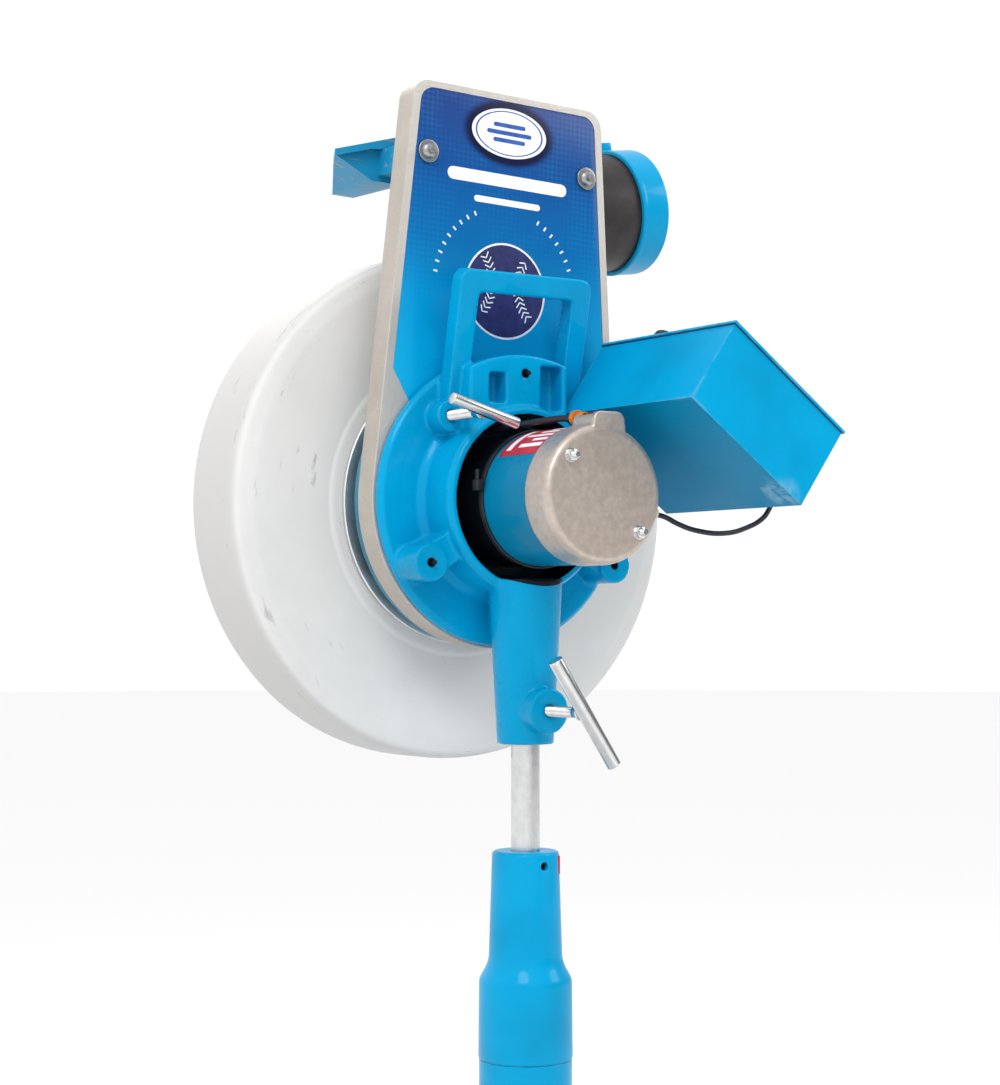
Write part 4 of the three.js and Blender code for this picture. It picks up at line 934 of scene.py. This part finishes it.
def build_motor():
    """The can, the die-cast bell with its spout, the studs, the strap and the label."""
    can = turned([
        (48, -111.4, 0.4), (51, -111.4, 0.6), (51, -12.3, 0.6), (48, -12.3, 0.4)], 128)
    piece("motor_can_rolled", [can], finish_of("enamel_can"), "swivel", ["motor_can"])
    made_part("motor_end_plate", finish_of("die_cast"), "swivel")

    shell = turned([
        (0, -140.5), (51.6, -140.5, 5.0), (51.9, -111.7, 0.6), (48, -111.7),
        (48, -136.5), (21.5, -136.5), (21.5, -127.5), (17.8, -127.5), (17.8, -136.5), (0, -136.5)], 160)
    spout = slab(arc((12, 54), 7, 0, 90, 6) + arc((-2, 54), 7, 90, 180, 6) + [(-10, 43), (20, 43)],
                 -140.0, -111.7, 0.4)
    voxel = 0.0009
    bell = cast_part("end_bell_cast", [shell, spout], voxel, 6, finish_of("die_cast"), "swivel",
                     ["end_bell"])
    clip_hole = put(bar(4.5, 30, 70, 0.01), shift(0, CLIP_Y, 0), turn("Y", -CLIP_ANGLE), ALONG_X)
    cut_out(bell, [put(bar(4.2, -135, -100, 0.01), at(-3, 57.5)), clip_hole])

    for number, angle in enumerate((138, -42), 1):
        x, z = polar(41, angle)
        rod = turned([(0, -149.5), (1.9, -149.5)] + thread(2.6, 0.8, -149.0, -138) + [(2.6, -10), (0, -10)], 40)
        nut = hexagon(8.0, -144.9, -141.2)
        washer = turned([(2.8, -141.2), (5.4, -141.2, 0.2), (5.4, -140.6), (2.8, -140.6)], 40)
        piece(f"motor_stud_{number}_nut", [put(b, at(x, z)) for b in (rod, nut, washer)],
              finish_of("zinc"), "swivel", [f"motor_stud_{number}"])

    strap = turned([
        (51.3, -57.5, 0.2), (52.8, -57.5, 0.3), (52.8, -52.5, 0.3), (51.3, -52.5, 0.2)], 96)
    lock = brick((-57.5, -59, 5), (-51.9, -51, 13), 0.7)
    tail = brick((-56.4, -57, 12.5), (-54.8, -53, 21), 0.3)
    piece("cable_tie_drawn", [strap, lock, tail], finish_of("black_abs"), "swivel", ["cable_tie"])

    grommet = put(turned([
        (2.9, -120.7), (4, -120.7, 0.3), (4, -111.5), (6, -111.5, 0.5), (6, -106.7, 1.2), (2.9, -106.7, 0.3)], 48),
        at(-3, 57.5))
    piece("lead_grommet_moulded", [grommet], finish_of("orange_plastic"), "swivel",
          ["lead_grommet"])

    label = turned([(51.05, -111.5), (51.35, -111.5), (51.35, -63), (51.05, -63)], 24, 98, 46)
    piece("motor_label_patch", [label], finish_of("red_label"), "swivel")
    marks = [
        turned([(51.35, y0), (51.5, y0), (51.5, y1), (51.35, y1)], 8, start, sweep)
        for y0, y1, start, sweep in (
            (-110, -82, 131, 4.4), (-110, -92, 124, 3.4), (-110, -78, 117, 3.4), (-110, -88, 110, 3.4),
            (-110, -94, 103, 3.4), (-74, -68, 104, 34))
    ]
    piece("motor_label_bars", marks, finish_of("white_print"), "swivel")

    clip = turned([
        (2.3, 46), (4.2, 46), (4.2, 52), (5.6, 52, 0.4), (5.6, 54, 0.3), (5.0, 55, 0.3), (5.0, 58), (4.4, 60, 0.4),
        (2.3, 60, 0.3)], 48)
    put(clip, shift(0, CLIP_Y, 0), turn("Y", -CLIP_ANGLE), ALONG_X)
    piece("motor_cable_bush", [clip], finish_of("cream_plastic"), "swivel", ["motor_cable_clip"])


def build_inside():
    """Pieces that only show through gaps keep their CAD shape and get their real finish."""
    plain = {
        "front_bearing": "steel", "rear_bearing": "steel", "magnet_ring": "ferrite",
        "circuit_board": "board", "box_screw_1": "zinc", "box_screw_2": "zinc", "pressure_pad": "black_rubber",
    }
    for node, finish in plain.items():
        mesh = frame["nodes"][node].data
        mesh.materials.clear()
        mesh.materials.append(finish_of(finish))


# ---- wheel -------------------------------------------------------------------------------------------

def build_wheel():
    """The tyre, the two pressed rim halves, the hub with its bolts, the shaft and its nut."""
    half = (TYRE_HIGH.y - TYRE_LOW.y) / 2
    mid = TYRE_MID

    def side(s):
        return [
            (101.9, mid + s * (half - 1.5)), (108, mid + s * (half + 0.6), 2), (118, mid + s * (half + 0.8), 2),
            (121, mid + s * (half - 0.4), 1.5), (186, mid + s * (half + 0.2), 3), (189, mid + s * (half - 0.5), 1),
            (TYRE_RADIUS - 2.5, mid + s * (half - 2.0), 5), (TYRE_RADIUS - 0.2, mid + s * (half - 14), 6),
        ]

    def hollow(s):
        return [
            (101.9, mid + s * (half - 13.5)), (115.5, mid + s * (half - 12), 3),
            (TYRE_RADIUS - 12, mid + s * (half - 16), 8)]

    tyre = turned(side(-1) + side(1)[::-1] + hollow(1) + hollow(-1)[::-1], 192)
    piece("tyre_cured", [tyre], finish_of("white_tyre"), "wheel", ["tyre"], sharp=60)

    for node, s in (("rim_front", -1), ("rim_rear", 1)):
        lip = half + 6

        def y(d, s=s):
            return mid + s * d

        pressed = turned([
            (14, y(0.2)), (87.5, y(0.2), 4), (99.5, y(12), 4), (101, y(lip - 6), 2), (102.5, y(lip - 3), 1.2),
            (111, y(lip - 2.6), 1.0), (111, y(lip), 1.0), (99.5, y(lip), 1.6), (97.5, y(lip - 4), 2),
            (97, y(14.4), 3), (86, y(2.6), 4), (14, y(2.6))], 160)
        piece(node + "_pressed", [pressed], finish_of("zinc_rim"), "wheel", [node])
        if s > 0:
            valve = put(turned([
                (0, 0), (4.2, 0), (4.2, 10, 0.6), (3.0, 12), (3.0, 26)] + thread(2.9, 0.8, 27, 33) + [(0, 33.6)], 32),
                at(*polar(92, 118)), shift(0, mid + 1, 0))
            piece("valve_stem", [valve], finish_of("black_rubber"), "wheel")

    low, high = span("wheel_hub")
    hub = turned([
        (8.3, low.y, 0.4), (22, low.y, 1.2), (22, mid - 12, 2), (48, mid - 12, 1.0), (48, mid - 3.1, 0.8),
        (8.3, mid - 3.1)], 96)
    bolts = []
    for angle in (45, 135, 225, 315):
        x, z = polar(36, angle)
        bolts.append(put(hexagon(11, mid - 17.5, mid - 12.0), at(x, z)))
        bolts.append(put(bar(4, mid + 2.6, mid + 10, 0.5), at(x, z)))
        bolts.append(put(hexagon(11, mid + 3.0, mid + 8.0), at(x, z)))
    piece("wheel_hub_turned", [hub], finish_of("steel"), "wheel", ["wheel_hub"])
    piece("wheel_hub_bolts", bolts, finish_of("zinc"), "wheel")

    low, high = span("wheel_nut")
    nut = hexagon(30, low.y + 4, high.y, 8.3)
    flange = turned([(8.3, low.y), (26, low.y, 0.6), (26, low.y + 3.2, 0.8), (17, low.y + 4.2, 0.8), (8.3, low.y + 4.2)])
    piece("wheel_nut_hex", [nut, flange], finish_of("zinc"), "wheel", ["wheel_nut"])

    low, high = span("motor_armature")
    shaft = turned([(0, low.y), (8, low.y, 0.8), (8, mid + 8)] + thread(8, 1.5, mid + 9, high.y - 1.5)
                   + [(6.6, high.y), (0, high.y)], 64)
    core = turned([(8.1, -98), (38, -98, 1.5), (38, -30, 1.5), (8.1, -30)])
    commutator = turned([(8.1, -124), (17, -124, 0.6), (17, -106, 0.6), (8.1, -106)])
    piece("armature_shaft", [shaft], finish_of("steel"), "wheel", ["motor_armature"])
    piece("armature_windings", [core, commutator], finish_of("copper"), "wheel")


# ---- head plate and panel ----------------------------------------------------------------------------

PLATE_TOP = 321.5
PLATE_TOP_HALF = 89.0
PLATE_RADIUS = 114.0
FLANK = (PLATE_RADIUS - PLATE_TOP_HALF) / PLATE_TOP


def flank(z):
    """Half the plate's width at a height."""
    return PLATE_RADIUS - FLANK * z


def plate_outline(inset, corner):
    """The plate's outline, from its round foot up to its two top corners."""
    lean = math.degrees(FLANK)
    top = PLATE_TOP - inset
    half = flank(top) - inset
    points = arc((0, 0), PLATE_RADIUS - inset, 180 - lean, 360 + lean, 72)
    points += arc((half - corner, top - corner), corner, 0, 90, 10)
    points += arc((corner - half, top - corner), corner, 90, 180, 10)
    return points


def panel_outline(grow):
    """The panel's outline: like the plate's, with a hollow foot that follows the casting's disc."""
    top = PLATE_TOP - 5.5 + grow
    corner, waist, foot = 12, 96, 108 - grow

    def half(z):
        return flank(z) - 7.5 + grow

    foot_angle = math.degrees(math.atan2(74 - grow, 88 + grow))
    points = arc((0, 0), foot, 180 - foot_angle, foot_angle, 40)
    points += [(half(waist), waist)]
    points += arc((half(top) - corner, top - corner), corner, 0, 90, 8)
    points += arc((corner - half(top), top - corner), corner, 90, 180, 8)
    points += [(-half(waist), waist)]
    return points[::-1]


def build_plate():
    """The sand-cast head plate with its panel recess, slots, bore and cored back."""
    plate = piece("head_plate_cast", [slab(plate_outline(0, 15), 0, 22, 0.9, 3)], finish_of("cast_aluminium"),
                  "head", ["head_plate"], HEAD)
    cutters = [
        slab(panel_outline(0.3), -3, 1.4, 0),
        turned([(0, -3), (44, -3), (44, 25), (0, 25)]),
        slab([(-86, 136), (86, 136), (76, 236), (-76, 236)], 9, 25, 0),
    ]
    for s in (-1, 1):
        cutters.append(put(bar(4.3, -3, 25, 0.01), at(s * 74.5, 266)))
    for angle in LUG_ANGLES:
        near, far = LUG_CIRCLE - 4.2, LUG_CIRCLE + 4.2
        slot = turned([(near, -3), (far, -3), (far, 25), (near, 25)], 24, angle - 32, 64)
        cutters.append(slot)
        for end in (angle - 32, angle + 32):
            cutters.append(put(bar(4.2, -3, 25, 0.01, 24), at(*polar(LUG_CIRCLE, end))))
    cut_out(plate, cutters, HEAD)
    plate.data.set_sharp_from_angle(angle=math.radians(35))
    plate.modifiers.new("even_normals", "WEIGHTED_NORMAL").keep_sharp = True


def flat_print(name, shapes, finish, lift=0.15, under=0.3):
    """Thin ink shapes on the panel's face."""
    return piece(name, [slab(s, under - lift, under, 0) for s in shapes], finish_of(finish), "head",
                 (), HEAD)


def rounded_stripe(centre, width, height):
    """A stripe with round ends."""
    x, z = centre
    r = height / 2
    return arc((x + width / 2 - r, z), r, -90, 90, 8) + arc((x - width / 2 + r, z), r, 90, 270, 8)


def ellipse(centre, half_width, half_height, count=64):
    """An oval outline."""
    return [
        (centre[0] + half_width * math.cos(math.tau * k / count), centre[1] + half_height * math.sin(math.tau * k / count))
        for k in range(count)]


def build_panel():
    """The printed front panel with its plain badge, stripes and a stitched ball, and its two screws."""
    panel = piece("front_panel_sheet", [slab(panel_outline(0), 0.3, 1.1, 0.15)], finish_of("panel_print"), "head",
                  ["front_panel"], HEAD)
    cut_out(panel, [put(bar(4.3, -3, 5, 0.01), at(s * 74.5, 266)) for s in (-1, 1)], HEAD)

    badge = (0, 291)
    flat_print("badge_oval", [ellipse(badge, 35, 19.5)], "white_print", 0.25)
    rim = turned([(33.5, 0.02), (35.2, 0.02), (35.2, 0.06), (33.5, 0.06)], 96)
    put(rim, at(*badge), Matrix.Diagonal((0.9, 1, 0.9 * 19.5 / 35, 1)))
    piece("badge_line", [rim], finish_of("blue_print"), "head", (), HEAD)
    flat_print("badge_stripes", [
        rounded_stripe((0, 297), 30, 3.4), rounded_stripe((0, 291), 42, 3.4), rounded_stripe((0, 285), 30, 3.4),
    ], "blue_print", 0.3)
    flat_print("title_stripes", [
        rounded_stripe((0, 253), 112, 10.0), rounded_stripe((0, 236), 62, 5.0),
    ], "white_print")

    ball, radius = (0, 166), 38
    flat_print("ball_disc", [ellipse(ball, radius, radius, 96)], "navy_print", 0.08)
    ring = put(turned([(radius - 1.6, 0.12), (radius, 0.12), (radius, 0.22), (radius - 1.6, 0.22)], 96), at(*ball))
    piece("ball_outline", [ring], finish_of("white_print"), "head", (), HEAD)
    stitches = []
    for s in (-1, 1):
        seam = (ball[0] + s * 46, ball[1] + 5)
        for k in range(13):
            spread = -42 + 7 * k
            heading = (180 if s > 0 else 0) - s * spread
            x, z = polar(34, heading)
            x, z = x + seam[0], z + seam[1]
            if math.hypot(x - ball[0], z - ball[1]) > radius - 5:
                continue
            for lean in (-1, 1):
                stroke = slab([(0, -0.5), (5.2, -0.5), (5.2, 0.5), (0, 0.5)], 0.1, 0.22, 0)
                put(stroke, shift(x, 0, z), turn("Y", -(heading + 90 + lean * 52)))
                stitches.append(stroke)
    piece("ball_stitches", stitches, finish_of("white_print"), "head", (), HEAD)
    ticks = []
    for k in range(9):
        for heading in (117 + 6.9 * k, 63 - 6.9 * k):
            x, z = polar(65, heading)
            tick = slab([(-1.8, -0.7), (1.8, -0.7), (1.8, 0.7), (-1.8, 0.7)], 0.14, 0.3, 0)
            ticks.append(put(tick, shift(ball[0] + x, 0, ball[1] + z), turn("Y", -(heading))))
    piece("panel_ticks", ticks, finish_of("white_print"), "head", (), HEAD)

    for number, s in enumerate((-1, 1), 1):
        washer = turned([(4.2, -1.9, 0.3), (9, -1.9, 0.5), (9, -0.3), (4.2, -0.3)], 64)
        button = turned([(0, -4.9), (3.2, -4.9, 0.4), (5.8, -3.6, 1.2), (6.2, -1.9, 0.3), (0, -1.9)], 64)
        shank = turned([(0, -2), (4, -2), (4, 34), (0, 34)], 32)
        screw = piece(f"panel_screw_{number}_button", [put(b, at(s * 74.5, 266)) for b in (washer, button, shank)],
                      finish_of("zinc_screw"), "head", [f"panel_screw_{number}"], HEAD)
        cut_out(screw, [put(hexagon(5.0, -8, -2.6), at(s * 74.5, 266))], HEAD)
        # painted shade: a dark disc at the bottom of each hex socket
        dark = put(turned([(0, -2.75), (2.7, -2.75), (2.7, -2.6), (0, -2.6)], 6), at(s * 74.5, 266))
        piece(f"panel_screw_{number}_shadow", [dark], finish_of("black_oxide"), "head", (), HEAD)


# ---- ball path ---------------------------------------------------------------------------------------

def build_ball_path():
    """The folded pressure shoe over the wheel, and the feed tube with its band and cradle."""
    made_part("pressure_shoe", finish_of("enamel_scrubbed"), "head", 0.0008)
    run = 115 / math.cos(math.radians(CHUTE_SLOPE))
    tube = put(turned([(46, -run, 0.6), (50, -run, 0.6), (50, -1, 0.8), (46, -1, 0.8)], 128), ALONG_X)
    piece("chute_tube_extruded", [tube], finish_of("black_tube"), "head", ["chute_tube"], CHUTE)
    band = put(turned([
        (50.3, -27, 0.3), (53.5, -27, 0.8), (53.9, -24.5, 0.8), (53.5, -22, 0.8), (53.5, -1.5, 0.8),
        (53.0, 0, 0.5), (50.3, 0, 0.3)], 128), ALONG_X)
    ear = brick((-26, -4, 52.8), (-16, 4, 60.5), 1.0, 3)
    piece("chute_band_rolled", [band, ear], finish_of("enamel_tube"), "head", ["chute_band"], CHUTE)
    made_part("chute_cradle", finish_of("enamel_tube"), "head", 0.0007)


# ---- control box -------------------------------------------------------------------------------------

def build_box():
    """The folded control box with its lid, gland and mains inlet."""
    made_part("control_box", finish_of("enamel_sheet"), "swivel", 0.0016, 3)
    made_part("box_lid", finish_of("enamel_sheet"), "swivel", 0.0006, 2)
    lid_screws = []
    for x, y in ((7, -184), (121, -184), (7, -33), (121, -33)):
        flat = turned([(0, 0), (3.6, 0), (3.6, 0.25, 0.1), (0, 0.3)], 40)
        lid_screws.append(put(flat, shift(x, y, 71.3), UPRIGHT))
    piece("lid_screws", lid_screws, finish_of("zinc"), "swivel", (), BOX)
    gland = put(turned([
        (2.3, -6), (4.9, -6), (4.9, 0.3), (7.5, 0.3), (7.5, 4, 0.5), (6.2, 7, 0.3), (5.4, 9, 0.3), (5, 11, 0.6),
        (2.3, 11, 0.3)], 48), shift(128, *GLAND_AT), ALONG_X)
    piece("cable_gland_moulded", [gland], finish_of("black_abs"), "swivel", ["cable_gland"], BOX)
    made_part("power_inlet", finish_of("black_abs"), "swivel", 0.0004)
    blades = [
        brick((115.5, INLET_Y + y - 1, 34 + z - 2.5), (127, INLET_Y + y + 1, 34 + z + 2.5), 0.3)
        for y, z in ((-5.5, -2), (5.5, -2), (0, 3))]
    piece("inlet_blades", blades, finish_of("zinc"), "swivel", (), BOX)
    low, high = (-0.3, -190.3), (128.3, -26.2)  # the gasket stands just proud of the walls
    strips = [
        ((low[0], low[1]), (high[0], low[1] + 3)), ((low[0], high[1] - 3), (high[0], high[1])),
        ((low[0], low[1] + 3), (low[0] + 3, high[1] - 3)), ((high[0] - 3, low[1] + 3), (high[0], high[1] - 3)),
    ]
    gasket = [brick((*a, 68.5), (*b, 69.25), 0) for a, b in strips]
    piece("lid_gasket", gasket, finish_of("black_rubber"), "swivel", (), BOX)


def knob(name, node, body, x):
    """A fluted dial knob with a white pointer line."""
    base = 71.6
    rows = [(13.5, base), (13.5, base + 3.2), (12.2, base + 4.0), (11.0, base + 19.5), (9.8, base + 21)]
    bm = bmesh.new()
    count = 72
    ring = bmesh.ops.create_circle(bm, cap_ends=True, radius=rows[0][0], segments=count)["verts"]
    bmesh.ops.translate(bm, verts=ring, vec=(0, 0, rows[0][1]))
    face = bm.faces[:][0]
    for k, (radius, z) in enumerate(rows[1:], 1):
        grown = bmesh.ops.extrude_face_region(bm, geom=[face])["geom"]
        verts = [g for g in grown if isinstance(g, bmesh.types.BMVert)]
        face = next(g for g in grown if isinstance(g, bmesh.types.BMFace))
        for vert in verts:
            flute = 0.7 if k >= 2 and round(math.degrees(math.atan2(vert.co.y, vert.co.x)) / 5) % 3 == 0 else 0.0
            reach = Vector((vert.co.x, vert.co.y, 0)).normalized() * (radius - flute)
            vert.co = (reach.x, reach.y, z)
    bmesh.ops.recalc_face_normals(bm, faces=bm.faces)
    shank = put(turned([(0, base - 12), (3, base - 12), (3, base), (0, base)], 24), UPRIGHT)
    cap = turned([(0, base + 21), (8.4, base + 21, 0.4), (8.0, base + 21.6, 0.4), (0, base + 21.8)], 48)
    skirt = [put(b, shift(x, KNOB_ROW, 0)) for b in (bm, shank, put(cap, UPRIGHT))]
    piece(name, skirt, finish_of("black_abs"), body, [node], BOX, sharp=40)
    line = brick((x - 0.7, KNOB_ROW + 3.5, base + 21.3), (x + 0.7, KNOB_ROW + 8.6, base + 22.0), 0.15)
    piece(name + "_pointer", [line], finish_of("white_print"), body, (), BOX)


def build_controls():
    """Two dial knobs with their scales, and the power switch."""
    knob("speed_dial", "speed_knob", "speed_knob", 24)
    knob("changeup_dial", "changeup_knob", "changeup_knob", 70)
    marks = []
    for x in (24, 70):
        for k in range(11):
            heading = 225 - 27 * k
            long = 4.0 if k % 5 == 0 else 2.6
            mark = brick((16.2, -0.35, 71.3), (16.2 + long, 0.35, 71.42), 0)
            marks.append(put(mark, shift(x, KNOB_ROW, 0), turn("Z", heading)))
    piece("dial_scale", marks, finish_of("white_print"), "swivel", (), BOX)
    made_part("switch_bezel", finish_of("black_abs"), "swivel", 0.0005)
    made_part("power_rocker", finish_of("black_abs"), "power_rocker", 0.0004)


# ---- stage -------------------------------------------------------------------------------------------

def build_stage():
    """A plain pale floor, an even sky and two large soft lights."""
    bm = bmesh.new()
    bmesh.ops.create_circle(bm, cap_ends=True, radius=30, segments=96)
    bmesh.ops.translate(bm, verts=bm.verts, vec=(0, 0, -0.0005))
    mesh = bpy.data.meshes.new("floor")
    bm.to_mesh(mesh)
    bm.free()
    floor = bpy.data.objects.new("floor", mesh)
    bpy.context.scene.collection.objects.link(floor)
    # The floor is painted pale grey under the machine as painted shade beneath it, which also dims the light it
    # bounces onto the undersides; clean white farther out.
    material, tree, shader, place = surface("pale_studio_floor", Roughness=0.95)
    shader.inputs["Specular IOR Level"].default_value = 0.0
    middle = add(tree, "ShaderNodeVectorMath", {0: place}, operation="LENGTH").outputs["Value"]
    paint(tree, shader, "Base Color", mixed(
        tree, step(tree, middle, 0.9, 2.2), linear("#C8C8C8"), linear("#FFFFFF")))
    mesh.materials.append(material)

    world = bpy.data.worlds.new("even_sky")
    bpy.context.scene.world = world
    world.use_nodes = True
    sky = world.node_tree.nodes["Background"]
    # An even white room. One side of it is dimmer in reflections, so that round and bright metal reads
    # as round, while the backdrop itself is white all the way round.
    ways = add(world.node_tree, "ShaderNodeTexCoord").outputs["Generated"]
    facing = add(world.node_tree, "ShaderNodeVectorMath", {
        0: ways, 1: (0.86, -0.5, -0.1)}, operation="DOT_PRODUCT").outputs["Value"]
    shade = ramp(world.node_tree, facing, (0.35, linear("#FFFFFF")), (0.85, linear("#6E6E70")))
    backdrop = add(world.node_tree, "ShaderNodeLightPath").outputs["Is Camera Ray"]
    shade = mixed(world.node_tree, backdrop, shade, linear("#FFFFFF"))
    world.node_tree.links.new(shade, sky.inputs["Color"])
    sky.inputs["Strength"].default_value = colours().sky

    target = AXLE + Vector((0, 0, 0.03))
    lights = (
        ("key_light", (-2.2, -2.6, 3.2), 1.9, 1.0),
        ("side_light", (2.6, -1.6, 1.6), 1.6, 0.45),
        ("back_light", (0.4, 2.8, 2.4), 2.0, 0.6),
    )
    for name, spot, size, share in lights:
        data = bpy.data.lights.new(name, "AREA")
        data.shape = "DISK"
        data.size = size
        data.energy = colours().key_power * share
        lamp = bpy.data.objects.new(name, data)
        lamp.location = target + Vector(spot)
        lamp.rotation_mode = "QUATERNION"
        lamp.rotation_quaternion = (target - lamp.location).to_track_quat("-Z", "Y")
        bpy.context.scene.collection.objects.link(lamp)
    bpy.context.scene.view_settings.view_transform = "Standard"


# ---- add-on ------------------------------------------------------------------------------------------

class PITCHING_OT_camera(bpy.types.Operator):
    """Add the camera"""

    bl_idname = "pitching.camera"
    bl_label = "Camera"

    def execute(self, context):
        build_camera()
        return {"FINISHED"}


class PITCHING_OT_cords(bpy.types.Operator):
    """Add the motor cable and the motor's lead pair"""

    bl_idname = "pitching.cords"
    bl_label = "Cords"

    def execute(self, context):
        build_motor_cable()
        build_motor_leads()
        return {"FINISHED"}


class PITCHING_OT_mast(bpy.types.Operator):
    """Add the mast rod, its neck and set screw"""

    bl_idname = "pitching.mast"
    bl_label = "Mast"

    def execute(self, context):
        build_mast()
        return {"FINISHED"}


class PITCHING_OT_tripod(bpy.types.Operator):
    """Add the tripod's hub, legs, pins and feet"""

    bl_idname = "pitching.tripod"
    bl_label = "Tripod"

    def execute(self, context):
        build_tripod()
        return {"FINISHED"}


class PITCHING_OT_casting(bpy.types.Operator):
    """Add the swivel casting"""

    bl_idname = "pitching.casting"
    bl_label = "Swivel casting"

    def execute(self, context):
        build_casting()
        return {"FINISHED"}


class PITCHING_OT_clamp(bpy.types.Operator):
    """Add the clamp ring and its screws"""

    bl_idname = "pitching.clamp"
    bl_label = "Clamp ring"

    def execute(self, context):
        build_clamp()
        return {"FINISHED"}


class PITCHING_OT_locks(bpy.types.Operator):
    """Add the two lock handles"""

    bl_idname = "pitching.locks"
    bl_label = "Lock handles"

    def execute(self, context):
        build_locks()
        return {"FINISHED"}


class PITCHING_OT_motor(bpy.types.Operator):
    """Add the motor's can, bell, studs, strap and label"""

    bl_idname = "pitching.motor"
    bl_label = "Motor"

    def execute(self, context):
        build_motor()
        return {"FINISHED"}


class PITCHING_OT_inside(bpy.types.Operator):
    """Finish the pieces inside the motor and the box"""

    bl_idname = "pitching.inside"
    bl_label = "Inside pieces"

    def execute(self, context):
        build_inside()
        return {"FINISHED"}


class PITCHING_OT_wheel(bpy.types.Operator):
    """Add the tyre, rims, hub, shaft and nut"""

    bl_idname = "pitching.wheel"
    bl_label = "Wheel"

    def execute(self, context):
        build_wheel()
        return {"FINISHED"}


class PITCHING_OT_plate(bpy.types.Operator):
    """Add the cast head plate"""

    bl_idname = "pitching.plate"
    bl_label = "Head plate"

    def execute(self, context):
        build_plate()
        return {"FINISHED"}


class PITCHING_OT_panel(bpy.types.Operator):
    """Add the printed front panel and its screws"""

    bl_idname = "pitching.panel"
    bl_label = "Front panel"

    def execute(self, context):
        build_panel()
        return {"FINISHED"}


class PITCHING_OT_ball_path(bpy.types.Operator):
    """Add the pressure shoe, feed tube, band and cradle"""

    bl_idname = "pitching.ball_path"
    bl_label = "Ball path"

    def execute(self, context):
        build_ball_path()
        return {"FINISHED"}


class PITCHING_OT_box(bpy.types.Operator):
    """Add the control box, its lid, gland and inlet"""

    bl_idname = "pitching.box"
    bl_label = "Control box"

    def execute(self, context):
        build_box()
        return {"FINISHED"}


class PITCHING_OT_controls(bpy.types.Operator):
    """Add the dial knobs, their scales and the switch"""

    bl_idname = "pitching.controls"
    bl_label = "Controls"

    def execute(self, context):
        build_controls()
        return {"FINISHED"}


class PITCHING_OT_stage(bpy.types.Operator):
    """Add the floor, the sky and the lights"""

    bl_idname = "pitching.stage"
    bl_label = "Stage"

    def execute(self, context):
        build_stage()
        return {"FINISHED"}


OPERATORS = (
    PITCHING_OT_camera, PITCHING_OT_cords, PITCHING_OT_mast, PITCHING_OT_tripod, PITCHING_OT_casting,
    PITCHING_OT_clamp, PITCHING_OT_locks, PITCHING_OT_motor, PITCHING_OT_inside, PITCHING_OT_wheel,
    PITCHING_OT_plate, PITCHING_OT_panel, PITCHING_OT_ball_path, PITCHING_OT_box, PITCHING_OT_controls,
    PITCHING_OT_stage,
)


class PITCHING_PT_sidebar(bpy.types.Panel):
    """Lists the settings and the pieces"""

    bl_idname = "PITCHING_PT_sidebar"
    bl_label = "Ball pitching machine"
    bl_space_type = "VIEW_3D"
    bl_region_type = "UI"
    bl_category = "Pitching"

    def draw(self, context):
        for group in (sizes(), colours()):
            for name in group.__annotations__:
                self.layout.prop(group, name)
        for operator in OPERATORS:
            self.layout.operator(operator.bl_idname)


CLASSES = (PITCHING_PG_sizes, PITCHING_PG_colours) + OPERATORS + (PITCHING_PT_sidebar,)


def register():
    """Registers the classes and the scene's settings."""
    for cls in CLASSES:
        bpy.utils.register_class(cls)
    bpy.types.Scene.pitching_sizes = PointerProperty(type=PITCHING_PG_sizes)
    bpy.types.Scene.pitching_colours = PointerProperty(type=PITCHING_PG_colours)


def unregister():
    """Removes the settings and the classes."""
    del bpy.types.Scene.pitching_sizes
    del bpy.types.Scene.pitching_colours
    for cls in reversed(CLASSES):
        bpy.utils.unregister_class(cls)


def main():
    """Builds the whole machine."""
    register()
    for operator in OPERATORS:
        group, name = operator.bl_idname.split(".")
        getattr(getattr(bpy.ops, group), name)()


if __name__ == "__main__":
    main()
